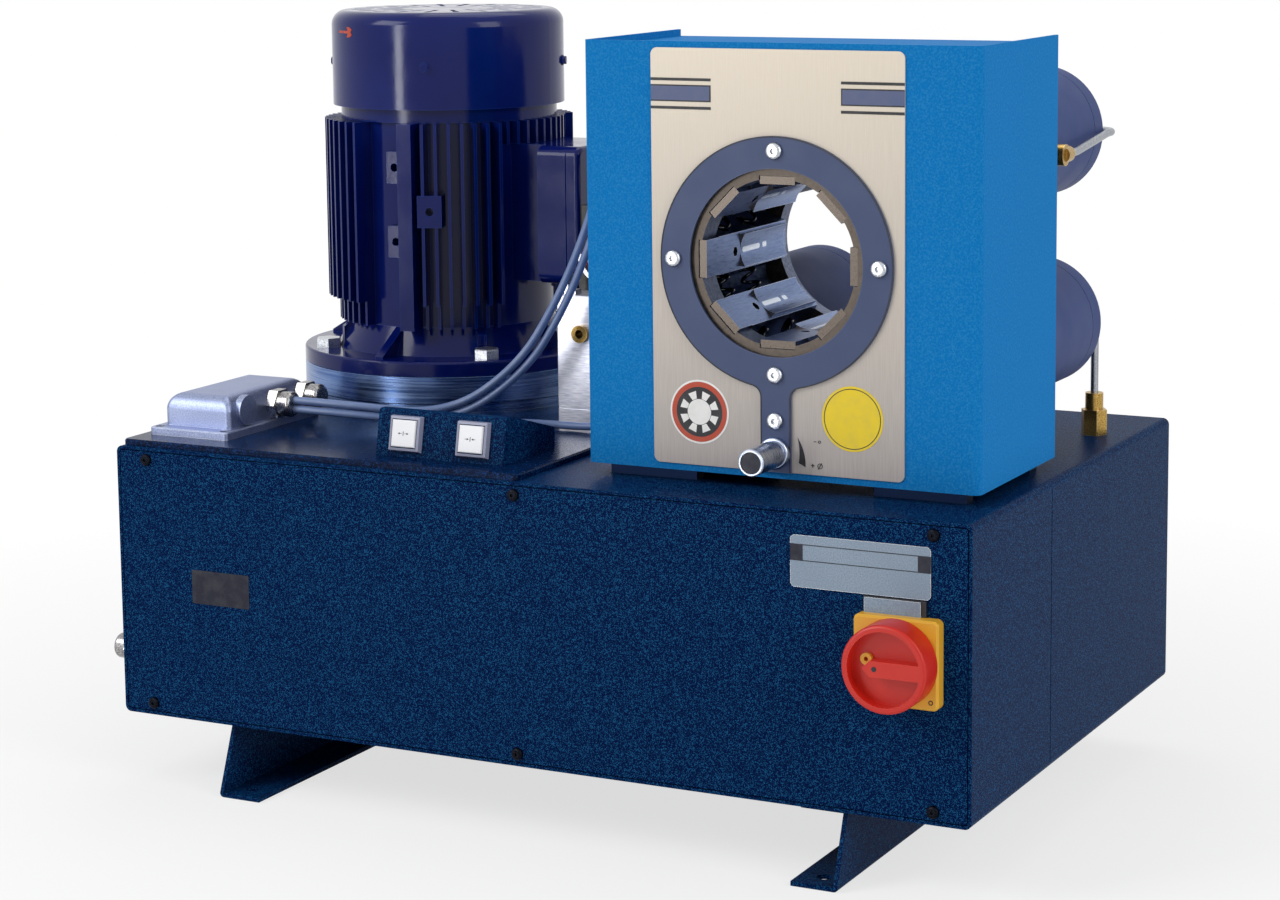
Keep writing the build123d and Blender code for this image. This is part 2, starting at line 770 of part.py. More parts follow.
pump_flange = 10.0
with BuildPart() as gear_pump:
    with BuildSketch(motor_plane(carrier_bottom)):
        Circle(carrier_neck_radius - carrier_neck_wall / 2)
    extrude(amount=-pump_flange)
    with BuildSketch(motor_plane(carrier_bottom)):
        Circle(pump_hub_radius - running_clearance)
    extrude(amount=carrier_floor)
    with BuildSketch(motor_plane(carrier_bottom - pump_flange)):
        RectangleRounded(pump_width, pump_depth, 12.0)
    extrude(amount=-pump_height)
    with BuildSketch(motor_plane(pump_shaft_end)):
        Circle(pump_shaft_radius + running_clearance)
    extrude(amount=pump_bore_depth + carrier_floor, mode=Mode.SUBTRACT)
save(gear_pump.part, "gear_pump")

# ---------------------------------------------------------------- valve group
valve_front = valve_block_y - valve_block_depth / 2
valve_left = valve_block_x - valve_block_width / 2
valve_top = cover_plate_top + valve_block_height
plug_point = (valve_block_x - 14.0, cover_plate_top + 73.0)
plug_radius = 7.0
with BuildPart() as valve_block:
    with BuildSketch(Plane.XY.offset(cover_plate_top)):
        with Locations((valve_block_x, valve_block_y)):
            Rectangle(valve_block_width, valve_block_depth)
    extrude(amount=valve_block_height)
    chamfer(valve_block.edges(), 1.0)
    # groove between the block and its sub-plate
    with BuildSketch(Plane.XY.offset(cover_plate_top + 12.0)):
        with Locations((valve_block_x, valve_block_y)):
            Rectangle(valve_block_width, valve_block_depth)
            Rectangle(valve_block_width - 1.6, valve_block_depth - 1.6, mode=Mode.SUBTRACT)
    extrude(amount=1.0, mode=Mode.SUBTRACT)
    with BuildSketch(front_plane(0, valve_front, 0)):
        with Locations(plug_point):
            Circle(plug_radius - 1.0)
    extrude(amount=-14.0, mode=Mode.SUBTRACT)
    # small angle bracket at the left of the top
    with BuildSketch(front_plane(valve_left, valve_front + 6.0, valve_top)):
        with BuildLine():
            Polyline(
                (4.0, -0.5),
                (4.0 + bracket_width, -0.5),
                (4.0 + bracket_width, bracket_sheet),
                (4.0 + bracket_sheet, bracket_sheet),
                (4.0 + bracket_sheet, bracket_height),
                (4.0, bracket_height),
                close=True,
            )
        make_face()
    extrude(amount=-bracket_width)
save(valve_block.part, "valve_block")

coil_width = 30.0
coil_height = 42.0
valve_body_height = 26.0
with BuildPart() as solenoid_valve:
    with BuildSketch(Plane.XY.offset(valve_top)):
        with Locations((valve_block_x, valve_block_y + valve_block_depth / 4)):
            Rectangle(valve_block_width - 8.0, valve_block_depth / 2 - 2.0)
    extrude(amount=valve_body_height)
    with BuildSketch(Plane.XY.offset(valve_top + valve_body_height)):
        with Locations((valve_block_x, valve_block_y + valve_block_depth / 4)):
            with GridLocations(valve_block_width / 2 - 3.0, 0, 2, 1):
                RectangleRounded(coil_width, valve_block_depth / 2 - 2.0, 3.0)
    extrude(amount=coil_height)
save(solenoid_valve.part, "solenoid_valve")

gauge_x = valve_block_x + 8.0
gauge_y = valve_front + 12.0
gauge_z = valve_top + gauge_radius + 9.0
gauge_front = gauge_y - gauge_case / 2
gauge_recess = 5.0
needle_pin_radius = 1.5
with BuildPart() as pressure_gauge:
    with BuildSketch(front_plane(gauge_x, gauge_front, gauge_z)):
        Circle(gauge_radius)
    extrude(amount=-gauge_case)
    fillet(pressure_gauge.faces().sort_by(Axis.Y)[-1].edges(), 3.0)
    with BuildSketch(front_plane(gauge_x, gauge_front, gauge_z)):
        Circle(gauge_radius - 3.0)
    extrude(amount=-gauge_recess, mode=Mode.SUBTRACT)
    with BuildSketch(front_plane(gauge_x, gauge_front + gauge_recess, gauge_z)):
        Circle(needle_pin_radius + running_clearance)
    extrude(amount=-4.0, mode=Mode.SUBTRACT)
    with BuildSketch(Plane.XY.offset(valve_top)):
        with Locations((gauge_x, gauge_y)):
            RegularPolygon(7.0, 6, major_radius=False)
    extrude(amount=gauge_z - gauge_radius + 2.0 - valve_top)
save(pressure_gauge.part, "pressure_gauge")

needle_length = gauge_radius - 8.0
needle_face = gauge_front + gauge_recess - 1.5
needle_angle = 225.0
needle_plane = Plane(
    origin=(gauge_x, needle_face, gauge_z),
    x_dir=(cos(radians(needle_angle)), 0, sin(radians(needle_angle))),
    z_dir=(0, -1, 0),
)
with BuildPart() as gauge_needle:
    with BuildSketch(needle_plane):
        with BuildLine():
            Polyline((-4.0, -1.2), (needle_length, -0.35), (needle_length, 0.35), (-4.0, 1.2), close=True)
        make_face()
        Circle(2.6)
    extrude(amount=-0.8)
    with BuildSketch(front_plane(gauge_x, needle_face, gauge_z)):
        Circle(needle_pin_radius)
    extrude(amount=-5.0)
save(gauge_needle.part, "gauge_needle")

# ---------------------------------------------------------------- brass fittings
port_x = bore_x + cylinder_spacing_x / 2 + cylinder_radius
port_y = rear_plate_back + cylinder_flange + 14.0
port_z = bore_z + cylinder_spacing_z / 2 - 8.0
port_reach = 12.0
port_radius = 8.0
pipe_port = (port_x + port_reach - 5.0, port_y, port_z)
with BuildPart() as brass_fittings:
    # plug in the front of the valve block
    with BuildSketch(front_plane(0, valve_front, 0)):
        with Locations(plug_point):
            Circle(plug_radius)
            Circle(plug_radius / 2, mode=Mode.SUBTRACT)
    extrude(amount=4.0)
    with BuildSketch(front_plane(0, valve_front, 0)):
        with Locations(plug_point):
            Circle(plug_radius - 1.0)
            Circle(plug_radius / 2, mode=Mode.SUBTRACT)
    extrude(amount=-10.0)
    # adapter that brings pressure up through the cabinet top
    with BuildSketch(Plane.XY.offset(cabinet_top)):
        with Locations((adapter_x, adapter_y)):
            RegularPolygon(9.0, 6, major_radius=False)
    extrude(amount=0.6 * adapter_height)
    with BuildSketch(Plane.XY.offset(cabinet_top)):
        with Locations((adapter_x, adapter_y)):
            Circle(7.0)
    extrude(amount=adapter_height)
    # port at the front of the upper right cylinder
    with BuildSketch(side_plane(port_x - 2.0)):
        with Locations((port_y, port_z)):
            Circle(port_radius)
    extrude(amount=port_reach)
    # nut that the pipe's end is screwed into
    with BuildSketch(front_plane(pipe_port[0], port_y + port_reach, port_z)):
        Circle(2 * tube_radius)
    extrude(amount=port_reach)
save(brass_fittings.part, "brass_fittings")

# ---------------------------------------------------------------- push-button box
button_lean = atan2(button_box_lean, button_box_height)
button_face_middle = (
    button_box_x,
    button_box_front + button_box_lean / 2,
    cover_plate_top + button_box_height / 2,
)
button_box_top = cover_plate_top + button_box_height
button_box_back = button_box_front + button_box_length
button_guide_depth = 10.0
button_stem_radius = 5.0
button_gland_x = -100.0
button_gland_z = cover_plate_top + button_box_tail / 2


def button_plane(shift):
    """Plane on the leaning front of the button box, moved outwards by the shift."""
    x, y, z = button_face_middle
    out = (0, -cos(button_lean), sin(button_lean))
    return Plane(origin=(x, y + shift * out[1], z + shift * out[2]), x_dir=(1, 0, 0), z_dir=out)


button_places = [(-button_spacing / 2, 0), (button_spacing / 2, 0)]
with BuildPart() as button_box:
    with BuildSketch(side_plane(button_box_x - button_box_width / 2)):
        with BuildLine():
            Polyline(
                (button_box_front, cover_plate_top),
                (button_box_front + button_box_lean, button_box_top),
                (button_box_front + button_box_lean + 8.0, button_box_top),
                (button_box_back, cover_plate_top + button_box_tail),
                (button_box_back, cover_plate_top),
                close=True,
            )
        make_face()
    extrude(amount=button_box_width)
    long_edges = button_box.edges().filter_by(Axis.X).group_by(Axis.Z)[-1]
    fillet(long_edges, 2.5)
    offset(amount=-button_box_wall, openings=button_box.faces().sort_by(Axis.Z)[0])
    # square openings, a guide behind each one and a bezel around it
    with BuildSketch(button_plane(0)):
        with Locations(*button_places):
            Rectangle(bezel_size, bezel_size)
    extrude(amount=bezel_proud, taper=12)
    with BuildSketch(button_plane(0)):
        with Locations(*button_places):
            Rectangle(bezel_size - 2.0, bezel_size - 2.0)
    extrude(amount=-button_guide_depth - button_box_wall)
    with BuildSketch(button_plane(bezel_proud)):
        with Locations(*button_places):
            Rectangle(button_size + 2 * slide_clearance, button_size + 2 * slide_clearance)
    extrude(amount=-button_guide_depth - bezel_proud, mode=Mode.SUBTRACT)
    with BuildSketch(button_plane(0)):
        with Locations(*button_places):
            Circle(button_stem_radius + running_clearance)
    extrude(amount=-2 * button_guide_depth, mode=Mode.SUBTRACT)
    # hole for the lead's grommet in the back
    with BuildSketch(front_plane(button_gland_x, button_box_back, button_gland_z)):
        Circle(grommet_stud_radius + running_clearance)
    extrude(amount=2 * button_box_wall, mode=Mode.SUBTRACT)
save(button_box.part, "button_box")


def push_button(side):
    """Square lens on a round stem, sprung outwards."""
    with BuildPart() as button:
        with BuildSketch(button_plane(button_proud)):
            with Locations((side * button_spacing / 2, 0)):
                Rectangle(button_size, button_size)
        extrude(amount=-button_proud - button_guide_depth + button_travel + 1.0)
        fillet(button.faces().sort_by(Axis.Y)[0].edges(), 1.0)
        with BuildSketch(button_plane(0)):
            with Locations((side * button_spacing / 2, 0)):
                Circle(button_stem_radius)
        extrude(amount=-button_guide_depth - button_box_wall - 2.0)
    return button.part


save(push_button(-1), "open_button")
save(push_button(1), "close_button")

# ---------------------------------------------------------------- junction box
junction_cover_bottom = cover_plate_top + junction_base_height
junction_cover_y = junction_front + 13.0 + junction_cover_length / 2
junction_side = junction_x + junction_cover_width / 2
with BuildPart() as junction_base:
    with BuildSketch(Plane.XY.offset(cover_plate_top)):
        with Locations((junction_x, junction_front + junction_length / 2)):
            RectangleRounded(junction_width, junction_length, 3.0)
    extrude(amount=junction_base_height)
    chamfer(junction_base.faces().sort_by(Axis.Z)[-1].edges(), 0.8)
    with BuildSketch(Plane.XY.offset(junction_cover_bottom)):
        with Locations((junction_x, junction_front + junction_length / 2)):
            with GridLocations(junction_width - 12.0, junction_length - 12.0, 2, 2):
                Circle(3.8)
    extrude(amount=-2.0, mode=Mode.SUBTRACT)
save(junction_base.part, "junction_base")

cap_y = junction_front + cap_setback
cap_z = junction_cover_bottom + 0.5 * junction_cover_height
gland_z = junction_cover_bottom + 0.46 * junction_cover_height
gland_spots = (cap_y + gland_pitch, cap_y + 2 * gland_pitch)
with BuildPart() as junction_cover:
    with BuildSketch(Plane.XY.offset(junction_cover_bottom)):
        with Locations((junction_x, junction_cover_y)):
            RectangleRounded(junction_cover_width, junction_cover_length, 4.0)
    extrude(amount=junction_cover_height)
    front_top = junction_cover.edges().filter_by(Axis.X).group_by(Axis.Z)[-1].sort_by(Axis.Y)[0]
    fillet(front_top, 12.0)
    offset(amount=-junction_wall, openings=junction_cover.faces().sort_by(Axis.Z)[0])
    with BuildSketch(side_plane(junction_side - junction_wall)):
        with Locations((cap_y, cap_z)):
            Circle(cap_radius)
    extrude(amount=junction_wall + cap_proud)
    with BuildSketch(side_plane(junction_side)):
        with Locations(*[(y, gland_z) for y in gland_spots]):
            Circle(0.8 * gland_radius)
    extrude(amount=-2 * junction_wall, mode=Mode.SUBTRACT)
save(junction_cover.part, "junction_cover")

# ---------------------------------------------------------------- glands
thread_radius = 0.8 * gland_radius
head_left = bore_x - head_width / 2
head_gland_y = -45.0
head_gland_z = bore_z + 30.5
side_grommet_z = head_bottom + 8.0
across_x = Plane(origin=(0, 0, 0), x_dir=(0, 1, 0), z_dir=(1, 0, 0))

with BuildPart() as gland:
    with BuildSketch(across_x):
        RegularPolygon(gland_flats / 2, 6, major_radius=False)
    extrude(amount=gland_nut)
    with BuildSketch(across_x):
        Circle(gland_radius)
    extrude(amount=gland_length)
    fillet(gland.faces().sort_by(Axis.X)[-1].edges(), gland_rounding)
    with BuildSketch(across_x):
        Circle(thread_radius)
    extrude(amount=-gland_thread)

with BuildPart() as grommet:
    with BuildSketch(across_x):
        Circle(grommet_radius)
    extrude(amount=grommet_flange)
    fillet(grommet.faces().sort_by(Axis.X)[-1].edges(), 1.5)
    with BuildSketch(across_x):
        Circle(grommet_stud_radius)
    extrude(amount=-casing_sheet)

gland_places = [Location((junction_side, y, gland_z)) for y in gland_spots]
gland_places.append(Location((head_left, head_gland_y, head_gland_z), (0, 0, 180)))
grommet_places = [
    Location((head_left, head_gland_y, side_grommet_z), (0, 0, 180)),
    Location((button_gland_x, button_box_back, button_gland_z), (0, 0, 90)),
]
with BuildPart() as cable_glands:
    add(copies(gland.part, gland_places))
    add(copies(grommet.part, grommet_places))
save(cable_glands.part, "cable_glands")
save(copies(gland.part, [Location((-half_width, mains_gland_y, mains_gland_z), (0, 0, 180))]), "mains_gland")

# ---------------------------------------------------------------- crimping head
mask_screw_points = [(side * mask_screw_circle, 0) for side in (-1, 1)]
mask_screw_points += [(0, mask_screw_circle), (0, -mask_screw_circle), (0, -mask_screw_drop)]
adjuster_point = (0, -adjuster_drop)
cover_hole_radius = hub_radius + 2 * slide_clearance
bush_radius = 7.0
bush_length = 21.0
mask_front = head_front - trim_sheet - mask_sheet
head_y = head_front + head_depth / 2


def bore_plane(y):
    """Plane facing the operator and centred on the crimping bore."""
    return front_plane(bore_x, y, bore_z)


def mask_holes():
    """Holes that the fixings of the mask and the adjuster's bush pass through."""
    with BuildSketch(mode=Mode.PRIVATE) as holes:
        with Locations(*mask_screw_points):
            Circle(mask_screw_radius + running_clearance)
        with Locations(adjuster_point):
            Circle(bush_radius + running_clearance)
    return holes.sketch


with BuildPart() as head_cover:
    with BuildSketch(Plane.XY.offset(head_bottom)):
        with Locations((bore_x, head_y)):
            Rectangle(head_width, head_depth)
        with Locations((bore_x, head_y + head_sheet)):
            Rectangle(head_width - 2 * head_sheet, head_depth, mode=Mode.SUBTRACT)
    extrude(amount=head_height)
    fillet(head_cover.edges().filter_by(Axis.Z).group_by(Axis.Y)[0], head_corner)
    inner_edges = head_cover.edges().filter_by(Axis.Z).filter_by_position(
        Axis.Y, front_plate_face - 0.1, front_plate_face + 0.1
    )
    fillet(inner_edges, head_corner - head_sheet)
    with BuildSketch(bore_plane(head_front)):
        Circle(cover_hole_radius)
        add(mask_holes())
    extrude(amount=-head_sheet, mode=Mode.SUBTRACT)
    with BuildSketch(side_plane(head_left)):
        with Locations((head_gland_y, head_gland_z)):
            Circle(thread_radius + running_clearance)
        with Locations((head_gland_y, side_grommet_z)):
            Circle(grommet_stud_radius + running_clearance)
    extrude(amount=head_sheet, mode=Mode.SUBTRACT)
save(head_cover.part, "head_cover")

with BuildPart() as head_top:
    with BuildSketch(Plane.XY.offset(plate_top)):
        with Locations((bore_x, (front_plate_face + head_back) / 2)):
            Rectangle(head_width - 2 * head_sheet, head_depth - head_sheet)
    extrude(amount=head_sheet)
    fillet(head_top.edges().filter_by(Axis.Z).group_by(Axis.Y)[0], head_corner)
save(head_top.part, "head_top")

with BuildPart() as face_plate:
    with BuildSketch(bore_plane(head_front)):
        with Locations((0, head_bottom + 5.0 + trim_height / 2 - bore_z)):
            RectangleRounded(trim_width, trim_height, 5.0)
        Circle(cover_hole_radius, mode=Mode.SUBTRACT)
        add(mask_holes(), mode=Mode.SUBTRACT)
    extrude(amount=trim_sheet)
save(face_plate.part, "face_plate")

tongue_end = head_bottom + 5.0 - bore_z
with BuildPart() as bore_ring:
    with BuildSketch(bore_plane(head_front - trim_sheet)) as mask_outline:
        Circle(mask_radius)
        with Locations((0, tongue_end / 2)):
            Rectangle(tongue_width, -tongue_end)
        throat = mask_outline.vertices().filter_by_position(Axis.Y, -mask_radius, -mask_radius / 2)
        fillet(throat, 8.0)
        Circle(mask_bore_radius, mode=Mode.SUBTRACT)
        add(mask_holes(), mode=Mode.SUBTRACT)
    extrude(amount=mask_sheet)
save(bore_ring.part, "bore_ring")

with BuildPart() as mask_screw:
    with BuildSketch(front_plane(0, 0, 0)):
        Circle(mask_screw_head_radius)
    extrude(amount=mask_screw_head)
    fillet(mask_screw.faces().sort_by(Axis.Y)[0].edges(), 0.75 * mask_screw_head)
    with BuildSketch(front_plane(0, -mask_screw_head, 0)):
        RegularPolygon(mask_screw_socket, 6, major_radius=False)
    extrude(amount=-0.6 * mask_screw_head, mode=Mode.SUBTRACT)
    with BuildSketch(front_plane(0, 0, 0)):
        Circle(mask_screw_radius)
    extrude(amount=-mask_screw_length)
screw_places = [Location((bore_x + x, mask_front, bore_z + z)) for x, z in mask_screw_points]
save(copies(mask_screw.part, screw_places), "ring_screws")

# ---------------------------------------------------------------- press frame
plate_height = plate_top - head_bottom
plate_middle = (plate_top + head_bottom) / 2 - bore_z
foot_middle = (cabinet_top + head_bottom) / 2 - bore_z
foot_spacing = plate_width - plate_foot_width - 2 * plate_foot_inset
die_angles = [i * 360.0 / die_count for i in range(die_count)]
rod_points = [(x * cylinder_spacing_x / 2, z * cylinder_spacing_z / 2) for x in (-1, 1) for z in (-1, 1)]
tie_points = [(x * tie_spacing / 2, z * tie_spacing / 2) for x in (-1, 1) for z in (-1, 1)]
tie_blind_depth = 14.0
way_floor = die_open_radius + die_nose_thickness + slide_clearance
way_depth = way_floor - die_open_radius


def plate_feet():
    """Front view of the two feet that a press plate stands on, let into the plate a little."""
    with BuildSketch(mode=Mode.PRIVATE) as feet:
        with Locations((-foot_spacing / 2, foot_middle + 1.0), (foot_spacing / 2, foot_middle + 1.0)):
            Rectangle(plate_foot_width, head_gap + 2.0)
    return feet.sketch


with BuildPart() as front_plate:
    with BuildSketch(bore_plane(front_plate_face)):
        with Locations((0, plate_middle)):
            Rectangle(plate_width, plate_height)
    extrude(amount=-front_plate_thickness)
    fillet(front_plate.edges().filter_by(Axis.Z).group_by(Axis.Y)[0], head_corner - head_sheet + 1.5)
    # its feet stand back from the cover's lower edge
    with BuildSketch(bore_plane(front_plate_face + plate_foot_setback)):
        add(plate_feet())
    extrude(amount=plate_foot_setback - front_plate_thickness)
    with BuildSketch(bore_plane(front_plate_face)):
        Circle(hub_radius)
    extrude(amount=1.5)
    with BuildSketch(bore_plane(front_plate_face - 1.5)):
        Circle(ring_bore_radius)
        # flat-bottomed ways that the die noses slide in
        with PolarLocations(way_floor - way_depth / 2, die_count):
            Rectangle(way_depth, die_nose_width + 2 * slide_clearance)
    extrude(amount=-2 * front_plate_thickness, mode=Mode.SUBTRACT)
    with BuildSketch(bore_plane(front_plate_face)):
        with Locations(*mask_screw_points):
            Circle(mask_screw_radius + running_clearance)
        with Locations(adjuster_point):
            Circle(bush_radius + running_clearance)
    extrude(amount=-front_plate_thickness + 4.5, mode=Mode.SUBTRACT)
    with BuildSketch(bore_plane(front_plate_face)):
        with Locations(adjuster_point):
            Circle(spindle_radius + running_clearance)
    extrude(amount=-front_plate_thickness, mode=Mode.SUBTRACT)
    with BuildSketch(bore_plane(front_plate_back)):
        with Locations(*tie_points):
            Circle(tie_stud_radius + running_clearance)
    extrude(amount=tie_blind_depth, mode=Mode.SUBTRACT)
save(front_plate.part, "front_plate")

with BuildPart() as rear_plate:
    with BuildSketch(bore_plane(rear_plate_face)):
        with Locations((0, plate_middle)):
            Rectangle(plate_width, plate_height)
        add(plate_feet())
        Circle(rear_bore_radius, mode=Mode.SUBTRACT)
        with Locations(*tie_points):
            Circle(tie_stud_radius + running_clearance, mode=Mode.SUBTRACT)
        with Locations(*rod_points):
            Circle(rod_radius + running_clearance, mode=Mode.SUBTRACT)
    extrude(amount=-rear_plate_thickness)
save(rear_plate.part, "rear_plate")

tie_nut = 10.0
with BuildPart() as tie_rod:
    with BuildSketch(front_plane(0, front_plate_back, 0)):
        Circle(tie_radius)
    extrude(amount=front_plate_back - rear_plate_face)
    with BuildSketch(front_plane(0, front_plate_back - tie_blind_depth, 0)):
        Circle(tie_stud_radius)
    extrude(amount=front_plate_back - tie_blind_depth - rear_plate_back - tie_nut - 4.0)
    with BuildSketch(front_plane(0, rear_plate_back, 0)):
        RegularPolygon(1.5 * tie_stud_radius, 6, major_radius=False)
    extrude(amount=-tie_nut)
tie_places = [Location((bore_x + x, 0, bore_z + z)) for x, z in tie_points]
save(copies(tie_rod.part, tie_places), "tie_rods")

# ---------------------------------------------------------------- tapered ring and dies


def taper_radius(y):
    """Radius of the dies' sloping backs at a place along the bore, dies open."""
    return taper_start_radius - taper * (y - die_front)


# octagonal bore: each flat bears on the back of one die
ring_mouth = taper_radius(press_ring_front) + taper_clearance
rod_stud = 25.0
with BuildPart() as pressure_ring:
    with BuildSketch(bore_plane(press_ring_front)):
        Circle(press_ring_radius)
    extrude(amount=-press_ring_length)
    chamfer(pressure_ring.edges().filter_by(GeomType.CIRCLE), 1.5)
    with BuildSketch(bore_plane(press_ring_front)):
        RegularPolygon(ring_mouth, die_count, major_radius=False, rotation=half_pitch)
    extrude(amount=-press_ring_length, taper=taper_angle, mode=Mode.SUBTRACT)
    with BuildSketch(bore_plane(press_ring_back)):
        with Locations(*rod_points):
            Circle(rod_stud_radius + running_clearance)
    extrude(amount=rod_stud, mode=Mode.SUBTRACT)
save(pressure_ring.part, "pressure_ring")

piston_back = cylinder_back - cylinder_end - 3.0
piston_front = piston_back - piston_length
with BuildPart() as piston_rod:
    with BuildSketch(front_plane(0, press_ring_back, 0)):
        Circle(rod_stud_radius)
    extrude(amount=rod_stud - 1.0)
    with BuildSketch(front_plane(0, press_ring_back, 0)):
        Circle(rod_radius)
    extrude(amount=press_ring_back - piston_back)
    with BuildSketch(front_plane(0, piston_front, 0)):
        Circle(cylinder_bore_radius - running_clearance)
    extrude(amount=-piston_length)
rod_places = [Location((bore_x + x, 0, bore_z + z)) for x, z in rod_points]
save(copies(piston_rod.part, rod_places), "piston_rods")

with BuildPart() as cylinder_barrel:
    with BuildSketch(front_plane(0, rear_plate_back, 0)):
        Circle(cylinder_flange_radius)
    extrude(amount=-cylinder_flange)
    with BuildSketch(front_plane(0, rear_plate_back, 0)):
        Circle(cylinder_radius)
    extrude(amount=-cylinder_length)
    chamfer(cylinder_barrel.faces().sort_by(Axis.Y)[-1].edges(), 3.0)
    with BuildSketch(front_plane(0, rear_plate_back, 0)):
        Circle(cylinder_bore_radius)
    extrude(amount=-cylinder_length + cylinder_end, mode=Mode.SUBTRACT)
    # line where the rear cap is screwed on
    with BuildSketch(front_plane(0, cylinder_back - cylinder_end - 8.0, 0)):
        Circle(cylinder_radius)
        Circle(cylinder_radius - 1.0, mode=Mode.SUBTRACT)
    extrude(amount=-1.2, mode=Mode.SUBTRACT)
with BuildPart() as cylinder_barrels:
    add(copies(cylinder_barrel.part, rod_places))
    with BuildSketch(side_plane(port_x - 4.0)):
        with Locations((port_y, port_z)):
            Circle(port_radius + running_clearance)
    extrude(amount=2 * port_reach, mode=Mode.SUBTRACT)
save(cylinder_barrels.part, "cylinder_barrels")

face_offset = die_side_gap / 2 + die_stroke * sin(radians(half_pitch))
pocket_floor = face_offset + spring_pocket_depth
spring_places_y = [die_front + setback for setback in spring_setbacks]
nose_front = head_front + 2.0
die_hole_radius = 3.5


def outward(angle):
    """Direction from the bore axis at an angle in the front view."""
    return Vector(cos(radians(angle)), 0, sin(radians(angle)))


def across(angle):
    """Direction square to outward(angle) in the front view."""
    return Vector(-sin(radians(angle)), 0, cos(radians(angle)))


def die_end_plane(angle, y):
    """Square to the bore: local x outwards along the die, normal to the back."""
    return Plane(origin=(bore_x, y, bore_z), x_dir=outward(angle), z_dir=(0, 1, 0))


def die_long_plane(angle):
    """Through the bore axis: local x outwards along the die, local y to the back."""
    return Plane(origin=(bore_x, 0, bore_z), x_dir=outward(angle), z_dir=across(angle))


def die_face_plane(angle, radius):
    """On the die's inner face: local x to the back, normal towards the bore axis."""
    middle = Vector(bore_x, 0, bore_z) + outward(angle) * radius
    return Plane(origin=middle, x_dir=(0, 1, 0), z_dir=outward(angle) * -1)


def pocket_plane(angle, side, y):
    """On the line midway between two dies: normal from that line towards the die."""
    between = angle + side * half_pitch
    middle = Vector(bore_x, y, bore_z) + outward(between) * spring_circle
    return Plane(origin=middle, x_dir=(0, 1, 0), z_dir=across(between) * -side)


def side_height(radius):
    """Half the width of a die at a radius, dies open."""
    return (radius - die_stroke) * tan(radians(half_pitch)) - die_side_gap / 2 / cos(radians(half_pitch))


def die(angle):
    """One wedge die: nose guided in the front plate, sloping back, concave bed."""
    bed_back = die_back - 4.0
    bed_front = bed_back - bed_length
    with BuildPart() as wedge:
        with BuildSketch(die_end_plane(angle, die_front)):
            with BuildLine():
                Polyline(
                    (die_open_radius, -side_height(die_open_radius)),
                    (die_outer_radius, -side_height(die_outer_radius)),
                    (die_outer_radius, side_height(die_outer_radius)),
                    (die_open_radius, side_height(die_open_radius)),
                    close=True,
                )
            make_face()
        extrude(amount=die_back - die_front)
        # sloping back that the ring pushes on
        with BuildSketch(die_long_plane(angle)):
            with BuildLine():
                Polyline(
                    (taper_radius(die_front), die_front),
                    (taper_radius(die_back), die_back),
                    (taper_radius(die_front), die_back),
                    close=True,
                )
            make_face()
        extrude(amount=die_outer_radius, both=True, mode=Mode.SUBTRACT)
        # nose
        with BuildSketch(die_end_plane(angle, nose_front)):
            with Locations((die_open_radius + die_nose_thickness / 2, 0)):
                Rectangle(die_nose_thickness, die_nose_width)
        extrude(amount=die_front - nose_front)
        # raised bed with its concave seat
        with BuildSketch(die_end_plane(angle, bed_front)):
            with Locations((die_open_radius - bed_height / 2, 0)):
                Rectangle(bed_height, bed_width)
        extrude(amount=bed_length)
        with BuildSketch(die_end_plane(angle, bed_front)):
            with Locations((die_open_radius - bed_trough_radius, 0)):
                Circle(bed_trough_radius)
        extrude(amount=bed_length, mode=Mode.SUBTRACT)
        # lock hole in the shoulder, pin hole and key slot in the bed
        with BuildSketch(die_face_plane(angle, die_open_radius)):
            with Locations((bed_front - 9.0, 0), (bed_front + 0.55 * bed_length, 0)):
                Circle(die_hole_radius)
        extrude(amount=-9.0, mode=Mode.SUBTRACT)
        with BuildSketch(die_face_plane(angle, die_open_radius)):
            with Locations((bed_front + 0.24 * bed_length, 0)):
                SlotOverall(0.4 * bed_length, 4.0)
        extrude(amount=-2.5, mode=Mode.SUBTRACT)
        # blind pockets for the opening springs
        for side in (-1, 1):
            for y in spring_places_y:
                with BuildSketch(pocket_plane(angle, side, y)):
                    Circle(spring_radius + spring_wire / 2 + hole_clearance)
                extrude(amount=pocket_floor, mode=Mode.SUBTRACT)
    return wedge.part


for number, angle in enumerate(die_angles, start=1):
    save(die(angle), f"die_{number}")

# opening springs stand between the pocket floors of neighbouring dies
spring_length = 2 * pocket_floor - slide_clearance
coil_height = spring_length - spring_wire
with BuildPart() as spring:
    with BuildLine() as coil:
        Helix(coil_height / spring_turns, coil_height, spring_radius, center=(0, 0, spring_wire / 2))
    with BuildSketch(Plane(origin=coil.line @ 0, z_dir=coil.line % 0)):
        Circle(spring_wire / 2)
    sweep(is_frenet=True)


def spring_place(angle, side, y):
    """Place of a spring that starts on the pocket floor of the die at the angle."""
    middle = pocket_plane(angle, side, y)
    seat = middle.origin + middle.z_dir * pocket_floor
    return Location(Plane(origin=seat, x_dir=(0, 1, 0), z_dir=middle.z_dir * -1))


for number, angle in enumerate(die_angles[::2], start=1):
    places = [spring_place(angle, side, y) for side in (-1, 1) for y in spring_places_y]
    save(copies(spring.part, places), f"die_springs_{number}")

